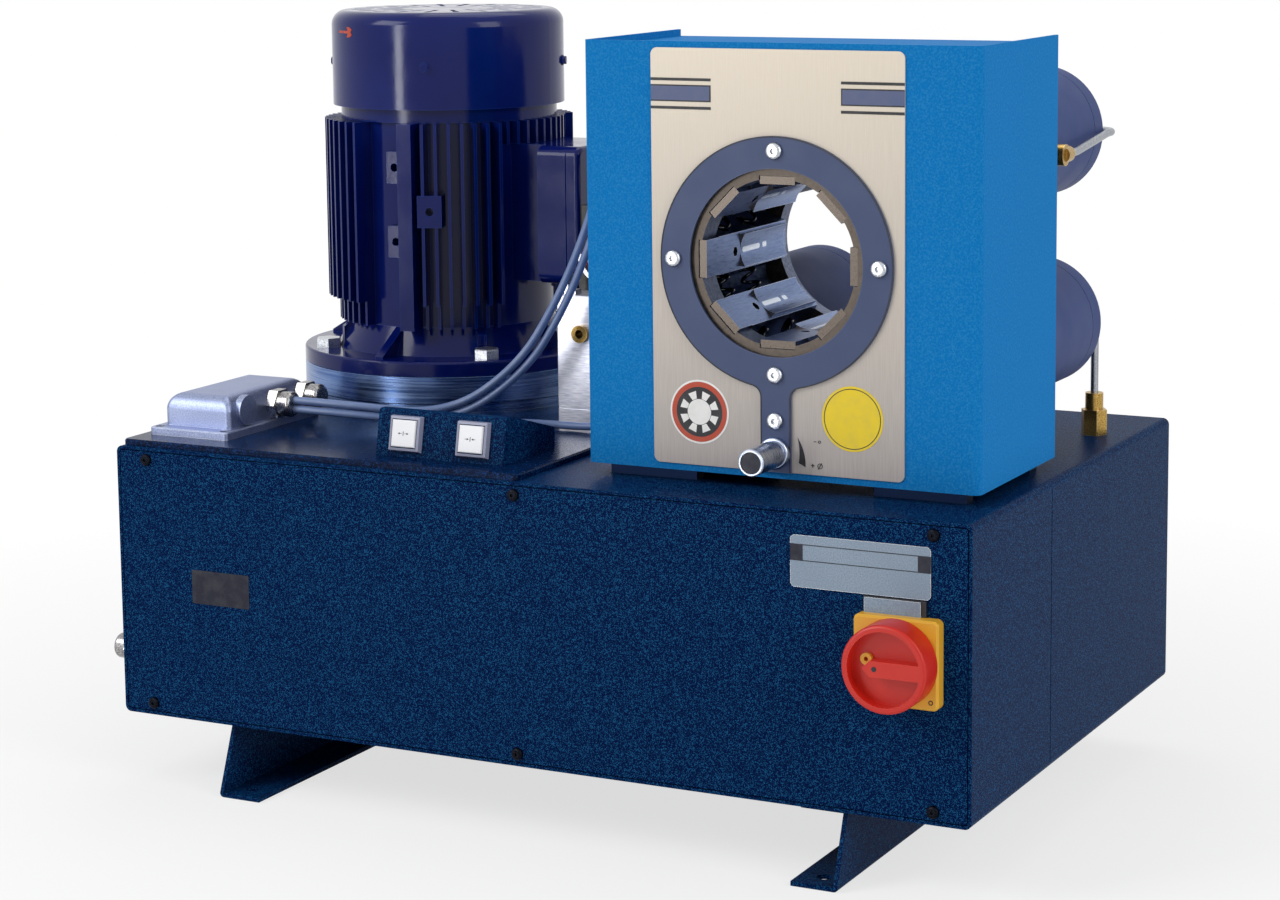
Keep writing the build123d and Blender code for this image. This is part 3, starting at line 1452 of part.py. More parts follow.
# ---------------------------------------------------------------- steel tubing
banjo_bolt = 7.0
tube_runs = [
    [
        (adapter_x, adapter_y, cabinet_top + adapter_height),
        (adapter_x, adapter_y, lower_z),
        (right_x + banjo_radius, adapter_y, lower_z),
    ],
    [
        (right_x + banjo_radius, adapter_y, upper_z),
        (pipe_port[0], adapter_y, upper_z),
        (pipe_port[0], adapter_y - 20.0, upper_z),
        (pipe_port[0], port_y + 32.0, port_z),
        (pipe_port[0], port_y + port_reach, port_z),
    ],
]
straight_runs = [
    ((right_x, adapter_y, lower_z + banjo_radius), (right_x, adapter_y, upper_z - banjo_radius)),
    ((left_x + banjo_radius, adapter_y, upper_z), (right_x - banjo_radius, adapter_y, upper_z)),
    ((left_x + banjo_radius, adapter_y, lower_z), (right_x - banjo_radius, adapter_y, lower_z)),
]


def tube(points):
    """Steel tube bent to one radius along straight runs."""
    with BuildPart() as bent:
        with BuildLine() as route:
            if len(points) > 2:
                FilletPolyline(*points, radius=tube_bend)
            else:
                Line(*points)
        with BuildSketch(Plane(origin=route.line @ 0, z_dir=route.line % 0)):
            Circle(tube_radius)
        sweep()
    return bent.part


with BuildPart() as banjo:
    with BuildSketch(front_plane(0, cylinder_back, 0)):
        Circle(banjo_radius)
    extrude(amount=-banjo_length)
    with BuildSketch(front_plane(0, cylinder_back + banjo_length, 0)):
        RegularPolygon(8.5, 6, major_radius=False)
    extrude(amount=-banjo_bolt)
with BuildPart() as pressure_pipes:
    add(copies(banjo.part, rod_places))
    for run in tube_runs + straight_runs:
        add(tube(run))
save(pressure_pipes.part, "pressure_pipes")

# ---------------------------------------------------------------- crimp-size adjuster
collar_front = mask_front - collar_length
knob_back = collar_front - 0.2
knob_front = knob_back - knob_length
spindle_back = mask_front + spindle_reach - 4.0
spindle_front = knob_front + 7.0
adjuster_z = bore_z - adjuster_drop
with BuildPart() as adjuster_collar:
    with BuildSketch(front_plane(bore_x, mask_front, adjuster_z)):
        Circle(collar_radius)
    extrude(amount=collar_length)
    fillet(adjuster_collar.faces().sort_by(Axis.Y)[0].edges(), 1.5)
    with BuildSketch(front_plane(bore_x, mask_front, adjuster_z)):
        Circle(bush_radius)
    extrude(amount=-bush_length + 0.5)
    with BuildSketch(front_plane(bore_x, collar_front, adjuster_z)):
        Circle(spindle_radius + running_clearance)
    extrude(amount=-bush_length - collar_length, mode=Mode.SUBTRACT)
save(adjuster_collar.part, "adjuster_collar")

with BuildPart() as adjuster_knob:
    with BuildSketch(front_plane(bore_x, knob_back, adjuster_z)):
        Circle(knob_radius)
    extrude(amount=knob_length)
    chamfer(adjuster_knob.edges().filter_by(GeomType.CIRCLE), 0.8)
    with BuildSketch(front_plane(bore_x, knob_front, adjuster_z)):
        Circle(knob_radius - 1.8)
    extrude(amount=-1.0, mode=Mode.SUBTRACT)
    with BuildSketch(front_plane(bore_x, knob_back, adjuster_z)):
        Circle(spindle_radius + running_clearance)
    extrude(amount=knob_back - spindle_front + 1.0, mode=Mode.SUBTRACT)
save(adjuster_knob.part, "adjuster_knob")

with BuildPart() as adjuster_spindle:
    with BuildSketch(front_plane(bore_x, spindle_front, adjuster_z)):
        Circle(spindle_radius)
    extrude(amount=spindle_front - spindle_back)
    chamfer(adjuster_spindle.edges().filter_by(GeomType.CIRCLE), 0.8)
save(adjuster_spindle.part, "adjuster_spindle")

# ---------------------------------------------------------------- main switch
switch_front = -half_depth - switch_plate_thickness
switch_knob_back = switch_front - slide_clearance
switch_shaft_radius = 4.0
switch_shaft = 7.0
grip_width = 11.0
switch_rim = 4.5
switch_recess = 10.0
switch_ring = 1.2
with BuildPart() as switch_plate:
    with BuildSketch(front_plane(switch_x, -half_depth, switch_height)):
        RectangleRounded(switch_plate_size, switch_plate_size, 4.0)
    extrude(amount=switch_plate_thickness)
    chamfer(switch_plate.faces().sort_by(Axis.Y)[0].edges(), 1.5)
    # shallow groove around the knob
    with BuildSketch(front_plane(switch_x, switch_front, switch_height)):
        Circle(switch_knob_radius - 0.5)
        Circle(switch_knob_radius - 2.5, mode=Mode.SUBTRACT)
    extrude(amount=-switch_ring, mode=Mode.SUBTRACT)
    with BuildSketch(front_plane(switch_x, -half_depth, switch_height)):
        Circle(switch_neck_radius)
    extrude(amount=-panel_sheet)
    with BuildSketch(front_plane(switch_x, -half_depth + panel_sheet, switch_height)):
        RectangleRounded(switch_body_size, switch_body_size, 3.0)
    extrude(amount=-switch_body_depth)
    with BuildSketch(front_plane(switch_x, switch_front, switch_height)):
        Circle(switch_shaft_radius + running_clearance)
    extrude(amount=-switch_shaft - 1.0, mode=Mode.SUBTRACT)
save(switch_plate.part, "switch_plate")

with BuildPart() as switch_knob:
    with BuildSketch(front_plane(switch_x, switch_knob_back, switch_height)):
        Circle(switch_knob_radius)
    extrude(amount=switch_knob_depth)
    fillet(switch_knob.faces().sort_by(Axis.Y)[0].edges(), 2.0)
    # one bowl runs round a grip that points at the plate's edge
    with BuildSketch(front_plane(switch_x, switch_knob_back - switch_knob_depth, switch_height)):
        Circle(switch_knob_radius - switch_rim)
        with BuildLine():
            Polyline(
                (-0.5 * switch_knob_radius, 0),
                (-0.32 * switch_knob_radius, -grip_width / 2),
                (switch_knob_radius, -grip_width / 2),
                (switch_knob_radius, grip_width / 2),
                (-0.32 * switch_knob_radius, grip_width / 2),
                close=True,
            )
        make_face(mode=Mode.SUBTRACT)
    extrude(amount=-switch_recess, mode=Mode.SUBTRACT)
    with BuildSketch(front_plane(switch_x, switch_knob_back, switch_height)):
        Circle(switch_shaft_radius)
    extrude(amount=-switch_shaft)
save(switch_knob.part, "switch_knob")

# ---------------------------------------------------------------- cables
junction_exit = (junction_side + gland_length, gland_spots[0], gland_z)
head_entry = (head_left - gland_length, head_gland_y, head_gland_z)
pair_gap = 3.5
upper_start_z = junction_exit[2] + pair_gap
lower_start_z = junction_exit[2] - pair_gap
upper_route = [
    (junction_exit[0], junction_exit[1], upper_start_z),
    (-212.0, junction_exit[1], upper_start_z),
    (-138.0, -82.0, 284.5),
    (-80.0, -70.0, 325.0),
    (-53.0, -55.0, 375.0),
    (-34.0, -45.0, 425.0),
    (-20.0, head_entry[1], head_entry[2] + pair_gap),
    (head_entry[0], head_entry[1], head_entry[2] + pair_gap),
]
lower_route = [
    (junction_exit[0], junction_exit[1], lower_start_z),
    (-212.0, junction_exit[1], lower_start_z),
    (-136.0, -80.0, 277.0),
    (-74.0, -67.0, 320.5),
    (-46.5, -52.0, 372.5),
    (-27.0, -45.0, 422.5),
    (-15.0, head_entry[1], head_entry[2] - pair_gap),
    (head_entry[0], head_entry[1], head_entry[2] - pair_gap),
]
button_route = [
    (button_gland_x, button_box_back + grommet_flange, button_gland_z),
    (button_gland_x, -76.0, button_gland_z),
    (-70.0, head_gland_y - 1.0, 277.0),
    (-24.0, head_gland_y, 276.6),
    (2.0, head_gland_y, side_grommet_z),
    (head_left - grommet_flange, head_gland_y, side_grommet_z),
]


def corner_radii(route):
    """Bend radius at each corner, as large as the shorter run beside it allows."""
    radii = []
    for before, corner, after in zip(route, route[1:], route[2:]):
        run_in = Vector(*corner) - Vector(*before)
        run_out = Vector(*after) - Vector(*corner)
        half_turn = radians(run_in.get_angle(run_out)) / 2
        radii.append(0.45 * min(run_in.length, run_out.length) / tan(half_turn))
    return radii


def cable(route):
    """Round cable along straight runs joined by bends."""
    with BuildPart() as lead:
        with BuildLine() as path:
            FilletPolyline(*route, radius=corner_radii(route))
        with BuildSketch(Plane(origin=path.line @ 0, z_dir=path.line % 0)):
            Circle(cable_radius)
        sweep()
    print("cable bends", [round(radius, 1) for radius in corner_radii(route)])
    length = sum(edge.length for edge in path.edges())
    print("cable length", round(length, 1), "volume", round(lead.part.volume))
    print("section x length", round(pi * cable_radius**2 * length))
    return lead.part


save(cable(upper_route), "cable_upper")
save(cable(lower_route), "cable_lower")
save(cable(button_route), "cable_buttons")
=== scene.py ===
"""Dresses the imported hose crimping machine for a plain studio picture.

Lengths are in metres, angles in radians. The machine stands on z = 0, its operator stands at -Y,
+X is the operator's right and +Z is up. Pieces take their places from the boxes of the CAD nodes; the
cables keep the routes of the CAD cords, and the camera and lamps have places of their own.
"""

import json
import math

import bmesh
import bpy
from mathutils import Matrix, Vector


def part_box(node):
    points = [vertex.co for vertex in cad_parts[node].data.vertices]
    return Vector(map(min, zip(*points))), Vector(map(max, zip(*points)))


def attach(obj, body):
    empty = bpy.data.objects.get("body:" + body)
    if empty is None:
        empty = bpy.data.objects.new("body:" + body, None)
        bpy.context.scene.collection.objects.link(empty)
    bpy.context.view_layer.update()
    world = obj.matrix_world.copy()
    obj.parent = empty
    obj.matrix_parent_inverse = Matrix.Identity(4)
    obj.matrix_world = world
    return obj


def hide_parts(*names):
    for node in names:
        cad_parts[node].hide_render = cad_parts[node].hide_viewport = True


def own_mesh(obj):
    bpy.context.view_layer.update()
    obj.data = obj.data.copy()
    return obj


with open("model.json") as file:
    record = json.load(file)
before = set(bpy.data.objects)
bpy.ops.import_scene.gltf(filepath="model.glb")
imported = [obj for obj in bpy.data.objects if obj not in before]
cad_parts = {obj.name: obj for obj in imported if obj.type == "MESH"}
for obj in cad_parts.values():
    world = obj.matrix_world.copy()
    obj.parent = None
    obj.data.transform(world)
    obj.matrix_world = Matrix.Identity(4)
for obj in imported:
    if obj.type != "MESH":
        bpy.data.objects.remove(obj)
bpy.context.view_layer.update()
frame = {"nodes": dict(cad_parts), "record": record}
mm = 0.001


# ---------------------------------------------------------------- places read from the frame
def box(node):
    """Lowest and highest corner of a CAD node."""
    low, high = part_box(node)
    return Vector(low), Vector(high)


def middle(node):
    """Centre of a CAD node's box."""
    low, high = box(node)
    return (low + high) / 2


def leaning_face(node, direction):
    """Centre and normal of the flat face of a CAD node that looks most in a direction."""
    mesh = frame["nodes"][node].data
    direction = Vector(direction).normalized()
    faces = [face for face in mesh.polygons if face.normal.dot(direction) > 0.95]
    area = sum(face.area for face in faces)
    place = sum((face.center * face.area for face in faces), Vector()) / area
    normal = sum((face.normal * face.area for face in faces), Vector()).normalized()
    return place, normal


bore = middle("pressure_ring")
panel_low, panel_high = box("front_panel")
face_low, face_high = box("face_plate")
mask_low, mask_high = box("bore_ring")
switch_low, switch_high = box("switch_plate")
switch_knob_front = box("switch_knob")[0].y
adjuster_low, adjuster_high = box("adjuster_knob")
cowl_low, cowl_high = box("fan_cover")
gauge_low, gauge_high = box("pressure_gauge")
junction_low, junction_high = box("junction_base")


# ---------------------------------------------------------------- materials
NOISE, RANGE, BLEND, BUMP = "ShaderNodeTexNoise", "ShaderNodeMapRange", "ShaderNodeMixRGB", "ShaderNodeBump"
MATHS, VECTORS, PLACE = "ShaderNodeMath", "ShaderNodeVectorMath", "ShaderNodeTexCoord"

# The studio is white to whatever mirrors it, so the dark coats mirror far less than a real coat's 0.5.
DIMMED_GLOSS = 0.012


def colour(code):
    """Linear RGBA of an sRGB hex code."""
    parts = [int(code[i : i + 2], 16) / 255 for i in (0, 2, 4)]
    return [p / 12.92 if p <= 0.04045 else ((p + 0.055) / 1.055) ** 2.4 for p in parts] + [1.0]


def add(tree, kind, inputs=None, output=0, **settings):
    """Adds a node, sets its properties, fills or links its inputs, and gives one of its outputs.

    A socket goes by its name, number or identifier, and a text value is an sRGB hex code.
    """
    new = tree.nodes.new(kind)
    for name, value in settings.items():
        setattr(new, name, value)
    sockets = {socket.identifier: socket for socket in new.inputs}
    for name, value in (inputs or {}).items():
        socket = sockets.get(name) or new.inputs[name]
        if isinstance(value, bpy.types.NodeSocket):
            tree.links.new(value, socket)
        else:
            socket.default_value = colour(value) if isinstance(value, str) else value
    results = {socket.identifier: socket for socket in new.outputs}
    return results.get(output) or (new.outputs[output] if results else None)


def material(name):
    """New material and its empty tree."""
    new = bpy.data.materials.new(name)
    new.use_nodes = True
    new.node_tree.nodes.clear()
    return new, new.node_tree


def surface(tree, inputs):
    """Gives a material its shader; what is the same all over stands on the shader's own sockets."""
    shader = add(tree, "ShaderNodeBsdfPrincipled", inputs)
    add(tree, "ShaderNodeOutputMaterial", {"Surface": shader})


def looks_forward(tree):
    """1 on faces that look at the operator, 0 on all others."""
    normal = add(tree, PLACE, output="Normal")
    along = add(tree, "ShaderNodeSeparateXYZ", {"Vector": normal}, "Y")
    return add(tree, RANGE, {"Value": along, "From Min": -0.70, "From Max": -0.92})


def lies_below(tree, height):
    """1 below a height and 0 above it."""
    z = add(tree, "ShaderNodeSeparateXYZ", {"Vector": add(tree, PLACE, output="Object")}, "Z")
    return add(tree, MATHS, {0: z, 1: height}, operation="LESS_THAN")


def sharp_edges(tree, width_mm):
    """1 along sharp edges and 0 elsewhere."""
    rounded_normal = add(tree, "ShaderNodeBevel", {"Radius": width_mm * mm}, samples=4)
    flat_normal = add(tree, "ShaderNodeNewGeometry", output="Normal")
    alike = add(tree, VECTORS, {0: rounded_normal, 1: flat_normal}, "Value", operation="DOT_PRODUCT")
    inputs = {"Value": alike, "From Min": 0.90, "From Max": 0.995, "To Min": 1.0, "To Max": 0.0}
    return add(tree, RANGE, inputs)


def hammer_enamel(name, pit_shade, crown_highlight, grain_mm=1.5, rough=0.3, depth_mm=0.16, level=DIMMED_GLOSS):
    """Hammer-finish enamel: a glossy coat drawn into cells as it dries; its colour holds painted light, a
    painted highlight on the cells' crowns and painted shade in the hollows between them.
    """
    new, tree = material(name)
    place = add(tree, PLACE, output="Object")
    inputs = {"Vector": place, "Scale": 1000.0 / grain_mm, "Smoothness": 0.6}
    cell = add(tree, "ShaderNodeTexVoronoi", inputs, "Distance", feature="SMOOTH_F1")
    inputs = {"Vector": place, "Scale": 1000.0 / (2.2 * grain_mm), "Detail": 3.0, "Roughness": 0.65}
    cloud = add(tree, NOISE, inputs)
    # painted highlight and shade: the cells' crowns are paler and their hollows darker, as light on the
    # relief would make them
    crown_highlight_mask = add(tree, MATHS, {0: cloud, 1: cell}, operation="SUBTRACT")
    crown_highlight_mask = add(tree, RANGE, {"Value": crown_highlight_mask, "From Min": 0.02, "From Max": 0.30})
    gloss = {"Value": cloud, "From Min": 0.3, "From Max": 0.7, "To Min": rough, "To Max": rough + 0.12}
    relief = {"Height": cell, "Distance": depth_mm * mm, "Strength": 0.8}
    coat = {
        "Base Color": add(tree, BLEND, {"Fac": crown_highlight_mask, "Color1": pit_shade, "Color2": crown_highlight}),
        "Metallic": 0.0,
        "Specular IOR Level": level,
        "Roughness": add(tree, RANGE, gloss),
        "Normal": add(tree, BUMP, relief),
    }
    surface(tree, coat)
    return new


def gloss_enamel(name, base, rim, rough=0.2, peel_mm=6.0, depth_mm=0.05, level=0.4):
    """Sprayed enamel: slight orange peel, and a painted highlight: a paler line along its sharp edges."""
    new, tree = material(name)
    place = add(tree, PLACE, output="Object")
    patches = add(tree, NOISE, {"Vector": place, "Scale": 1000.0 / 60.0})
    patches = add(tree, RANGE, {"Value": patches, "From Min": 0.45, "From Max": 0.8, "To Max": 0.15})
    haze = add(tree, NOISE, {"Vector": place, "Scale": 1000.0 / 25.0})
    gloss = {"Value": haze, "From Min": 0.3, "From Max": 0.7, "To Min": rough, "To Max": rough + 0.08}
    tone = add(tree, BLEND, {"Fac": patches, "Color1": base, "Color2": rim})
    peel = add(tree, NOISE, {"Vector": place, "Scale": 1000.0 / peel_mm})
    coat = {
        # painted highlight: the colour turns to the rim colour along sharp edges, where a glossy coat would
        # catch light
        "Base Color": add(tree, BLEND, {"Fac": sharp_edges(tree, 0.7), "Color1": tone, "Color2": rim}),
        "Metallic": 0.0,
        "Specular IOR Level": level,
        "Roughness": add(tree, RANGE, gloss),
        "Normal": add(tree, BUMP, {"Height": peel, "Distance": depth_mm * mm, "Strength": 0.6}),
    }
    surface(tree, coat)
    return new


def textured_enamel(name, base, light, grain_mm=1.6):
    """Baked powder coat with a leather grain, a little drawn out in scale so that it shows."""
    new, tree = material(name)
    place = add(tree, PLACE, output="Object")
    grain = add(tree, NOISE, {"Vector": place, "Scale": 1000.0 / grain_mm, "Detail": 3.0, "Roughness": 0.6})
    fleck = add(tree, RANGE, {"Value": grain, "From Min": 0.42, "From Max": 0.68, "To Max": 0.5})
    gloss = {"Value": grain, "From Min": 0.3, "From Max": 0.7, "To Min": 0.42, "To Max": 0.55}
    coat = {
        "Base Color": add(tree, BLEND, {"Fac": fleck, "Color1": base, "Color2": light}),
        "Metallic": 0.0,
        "Specular IOR Level": DIMMED_GLOSS,
        "Roughness": add(tree, RANGE, gloss),
        "Normal": add(tree, BUMP, {"Height": grain, "Distance": 0.12 * mm, "Strength": 0.5}),
    }
    surface(tree, coat)
    return new


def worked_metal(
    name, dark, light, rough, stretch=(1.0, 1.0, 1.0), grain_mm=1.0, wear="D9DDE2", front=None, painted=None
):
    """Bare metal with the marks of how it was worked, coarser than real ones so that they show.

    stretch draws the marks out along the way the tool ran. front is the pair of colours
    of the front faces, which weathered, and painted is a height with the colour of painted shade for all
    that lies below it.
    """
    new, tree = material(name)
    place = add(tree, PLACE, output="Object")
    along_tool = add(tree, "ShaderNodeMapping", {"Vector": place, "Scale": stretch})
    inputs = {"Vector": along_tool, "Scale": 1000.0 / grain_mm, "Detail": 3.0, "Roughness": 0.6}
    marks = add(tree, NOISE, inputs)
    cloud = add(tree, NOISE, {"Vector": place, "Scale": 1000.0 / 30.0})
    tone = add(tree, RANGE, {"Value": marks, "From Min": 0.35, "From Max": 0.65})
    tone = add(tree, BLEND, {"Fac": tone, "Color1": dark, "Color2": light})
    cloud = add(tree, RANGE, {"Value": cloud, "From Min": 0.35, "From Max": 0.8, "To Max": 0.35})
    tone = add(tree, BLEND, {"Fac": cloud, "Color1": tone, "Color2": dark})
    tone = add(tree, BLEND, {"Fac": sharp_edges(tree, 0.5), "Color1": tone, "Color2": wear})
    if front:
        raw = add(tree, BLEND, {"Fac": marks, "Color1": front[0], "Color2": front[1]})
        tone = add(tree, BLEND, {"Fac": looks_forward(tree), "Color1": tone, "Color2": raw})
    # painted shade: all below the height takes a dark colour, for the shadow under the head's cover
    if painted:
        height, shade_colour = painted
        tone = add(tree, BLEND, {"Fac": lies_below(tree, height), "Color1": tone, "Color2": shade_colour})
    gloss = {"Value": marks, "From Min": 0.3, "From Max": 0.7, "To Min": rough, "To Max": rough + 0.12}
    metal = {
        "Base Color": tone,
        "Metallic": 1.0,
        "Roughness": add(tree, RANGE, gloss),
        "Normal": add(tree, BUMP, {"Height": marks, "Distance": 0.03 * mm, "Strength": 0.5}),
    }
    surface(tree, metal)
    return new


def satin_sheet(name, top, bottom, low, high):
    """Anodised face sheet: fine upright grain, and painted light in its colour: a painted reflection that
    goes from warm and pale at the top to greyer below, and a painted sheen along the grain.
    """
    new, tree = material(name)
    place = add(tree, PLACE, output="Object")
    height = add(tree, "ShaderNodeSeparateXYZ", {"Vector": place}, "Z")
    # painted reflection: the colour changes with height, standing in for the studio that the satin sheet
    # mirrors
    painted_reflection_drift = add(tree, RANGE, {"Value": height, "From Min": low, "From Max": high})
    upright = add(tree, "ShaderNodeMapping", {"Vector": place, "Scale": (30.0, 1.0, 1.0)})
    inputs = {"Vector": upright, "Scale": 1000.0 / 25.0, "Detail": 3.0, "Roughness": 0.6}
    grain = add(tree, NOISE, inputs)
    # painted sheen: the grain's streaks turn a little toward white
    painted_grain_sheen = add(tree, RANGE, {"Value": grain, "From Min": 0.4, "From Max": 0.75, "To Max": 0.10})
    gloss = {"Value": grain, "From Min": 0.3, "From Max": 0.7, "To Min": 0.36, "To Max": 0.46}
    tone = add(tree, BLEND, {"Fac": painted_reflection_drift, "Color1": bottom, "Color2": top})
    sheet = {
        "Base Color": add(tree, BLEND, {"Fac": painted_grain_sheen, "Color1": tone, "Color2": "FFFFFF"}),
        "Metallic": 0.1,
        "Specular IOR Level": 0.15,
        "Roughness": add(tree, RANGE, gloss),
        "Normal": add(tree, BUMP, {"Height": grain, "Distance": 0.01 * mm, "Strength": 0.4}),
    }
    surface(tree, sheet)
    return new


def moulded_plastic(name, base, light, rough=0.35, grain_mm=0.7):
    """Moulded plastic: even colour, spark-eroded texture, edges rubbed a little paler."""
    new, tree = material(name)
    place = add(tree, PLACE, output="Object")
    grain = add(tree, NOISE, {"Vector": place, "Scale": 1000.0 / grain_mm})
    flow = add(tree, NOISE, {"Vector": place, "Scale": 1000.0 / 20.0})
    flow = add(tree, RANGE, {"Value": flow, "From Min": 0.4, "From Max": 0.8, "To Max": 0.2})
    gloss = {"Value": grain, "From Min": 0.3, "From Max": 0.7, "To Min": rough, "To Max": rough + 0.1}
    tone = add(tree, BLEND, {"Fac": flow, "Color1": base, "Color2": light})
    plastic = {
        "Base Color": add(tree, BLEND, {"Fac": sharp_edges(tree, 0.5), "Color1": tone, "Color2": light}),
        "Metallic": 0.0,
        "Specular IOR Level": 0.4,
        "Roughness": add(tree, RANGE, gloss),
        "Normal": add(tree, BUMP, {"Height": grain, "Distance": 0.02 * mm, "Strength": 0.4}),
    }
    surface(tree, plastic)
    return new


def print_ink(name, code, rough=0.45):
    """Flat screen-printed colour, a little uneven in the coat."""
    new, tree = material(name)
    place = add(tree, PLACE, output="Object")
    coat = add(tree, NOISE, {"Vector": place, "Scale": 1000.0 / 8.0})
    coat = add(tree, RANGE, {"Value": coat, "From Min": 0.4, "From Max": 0.8, "To Max": 0.12})
    layer = {
        "Base Color": add(tree, BLEND, {"Fac": coat, "Color1": code, "Color2": "808080"}),
        "Metallic": 0.0,
        "Specular IOR Level": 0.3,
        "Roughness": rough,
    }
    surface(tree, layer)
    return new


weathered = ("2B2727", "645C54")
across_bore = (8.0, 1.0, 8.0)
finish = {
    # hammer coat on folded sheet: near-black painted shade in the pits, between crowns with a blue painted
    # highlight
    "hammer_enamel_dark": hammer_enamel("hammer_finish_enamel", "031640", "1B5684", 0.95),
    # a thinner hammer coat on the plate under the motor: darker, with a shine
    "plate_enamel_dark": hammer_enamel(
        "hammer_finish_enamel_fine", "02102E", "0E3C74", 1.1, 0.16, 0.05, level=0.08
    ),
    # oil-blackened screw steel: dark with a soft sheen
    "screw_black": worked_metal("blackened_steel", "0C0D12", "1C1E26", 0.35, wear="2C3038"),
    # cold-rolled sheet left bare: flat mid grey
    "tank_steel": worked_metal("cold_rolled_sheet", "7C7E82", "9A9C9F", 0.4),
    # nickel plate on brass: bright and faintly warm on its edges
    "gland_grey": worked_metal("nickel_plated_brass", "6D6C72", "B9B7B4", 0.2, wear="D8D4C8"),
    # aluminium turned about an upright axis: level rings, with a painted reflection of the blue around them
    # in its blue colours
    "turned_aluminium": worked_metal(
        "turned_aluminium", "456399", "8199C4", 0.2, (0.02, 0.02, 1.0), 1.5, "8FA4C8"
    ),
    # gloss enamel on the cast motor: deep blue with sharp highlights
    "motor_enamel": gloss_enamel("gloss_enamel_motor_blue", "04145C", "1C3C90", 0.1, 3.0, 0.05, 0.22),
    # moulded nylon: black with a dull sheen
    "fan_plastic": moulded_plastic("moulded_nylon_black", "101114", "2A2C30"),
    # zinc plate on fasteners: bright silver
    "zinc_fasteners": worked_metal("zinc_plated_steel", "A4A8B0", "DDE0E4", 0.25),
    # ground shaft steel: even grey with a clean shine
    "shaft_steel": worked_metal("ground_steel", "8C8F94", "B9BCC1", 0.25),
    # cast iron as it left the sand: dark and dull
    "pump_iron": worked_metal("bare_cast_iron", "3E4044", "5A5C60", 0.55),
    # milled aluminium block: pale with level cutter marks
    "valve_aluminium": worked_metal("milled_aluminium", "C4C6D6", "F2F3FA", 0.36, (1.0, 1.0, 12.0), 10.0),
    # moulded nylon on the coil: black with a dull sheen
    "coil_black": moulded_plastic("moulded_nylon_coil", "0E0F12", "26282C"),
    # pressed stainless gauge case: clean silver
    "gauge_case": worked_metal("stainless_case", "8A8D92", "C2C5CA", 0.25),
    # matt paint on the gauge needle: plain black
    "needle_black": moulded_plastic("needle_paint", "050505", "1A1A1A"),
    # brass turned on a lathe: warm yellow, pale on its edges
    "brass": worked_metal("turned_brass", "8C6C34", "C9A862", 0.25, wear="EAD8A6"),
    # opal lens of a push button: even white
    "button_white": moulded_plastic("white_lens", "EFF0F5", "FFFFFF", 0.25),
    # die-cast box as it left the die: blue-grey with a fine skin
    "box_aluminium": worked_metal("die_cast_aluminium", "727CA0", "A6AFC8", 0.4, grain_mm=0.8),
    # powder coat on the head: bright blue with a fine grain
    "head_enamel": textured_enamel("textured_powder_coat_blue", "0F76BE", "3A92CC"),
    # satin anodised sheet: a painted reflection, warm and pale at the top, greyer below
    "face_steel": satin_sheet("satin_face_sheet", "D6CBBA", "A8A19E", face_low.z, face_high.z),
    # sprayed satin enamel on the mask: slate blue
    "mask_enamel": gloss_enamel("slate_blue_enamel", "424F72", "66728F", 0.4, 6.0, 0.03, 0.2),
    # turned steel: its front faces are weathered brown, and below the head's cover it turns dark navy, a
    # painted shade where the cover shadows the feet
    "press_steel": worked_metal(
        "turned_steel",
        "4C5670",
        "7D879E",
        0.4,
        grain_mm=3.0,
        wear="9AA2B4",
        front=weathered,
        painted=(box("head_cover")[0].z, "16223C"),
    ),
    # hard chrome on the piston rods: bright and smooth
    "rod_chrome": worked_metal("hard_chrome", "B9BCC2", "D8DBE0", 0.12),
    # satin enamel on the cylinder barrels: slate blue with a soft sheen
    "barrel_enamel": gloss_enamel("satin_enamel_slate_blue", "3A497A", "5C6A96", 0.5, 6.0, 0.03, 0.12),
    # zinc plate on drawn tube: mid grey
    "tube_steel": worked_metal("zinc_plated_tube", "7F838A", "B6BAC0", 0.3),
    # tool steel ground along the bore: cold blue grey, with weathered brown front faces
    "die_steel": worked_metal(
        "ground_tool_steel", "586C98", "7C90B8", 0.26, across_bore, 12.0, "DCE4F0", front=weathered
    ),
    # black lacquer on spring wire: dark with a thin shine
    "spring_steel": gloss_enamel("black_lacquered_wire", "07080E", "1C202C", 0.1, 6.0, 0.0, 0.6),
    # extruded PVC jacket: blue grey with a soft sheen
    "cable_grey": moulded_plastic("pvc_jacket_grey", "6A80AE", "A9B6D0", 0.34),
    # satin chrome on the knob: pale with fine turning marks
    "knob_chrome": worked_metal("satin_chrome", "8C9AB8", "D2D8E4", 0.24, (1.0, 8.0, 1.0), 8.0),
    # moulded polycarbonate on the switch: warm yellow and signal red
    "switch_yellow": moulded_plastic("polycarbonate_yellow", "E2A92C", "F0BE50", 0.4),
    "switch_red": moulded_plastic("polycarbonate_red", "CC2214", "E2452E", 0.34),
}
ink = {
    "black": print_ink("ink_black", "14161E"),
    "slate": print_ink("ink_slate", "4E5A80"),
    "white": print_ink("ink_white", "F2F2F0"),
    "red": print_ink("ink_red", "BC4428"),
    "yellow": print_ink("ink_yellow", "F0D21E"),
    "navy": print_ink("ink_navy", "050A24", 0.3),
}
# anodised label sheet: even blue grey; moulded bezel: pale grey
plate_silver = worked_metal("anodised_label_plate", "64707E", "7B8794", 0.42)
bezel_plastic = moulded_plastic("moulded_bezel_grey", "8F93AC", "B9BCD0", 0.35)

slot_of = {part["node"]: part["material_slot"] for part in frame["record"]["subparts"]}
for node_name, node_object in frame["nodes"].items():
    for index in range(len(node_object.material_slots)):
        node_object.material_slots[index].material = finish[slot_of[node_name]]


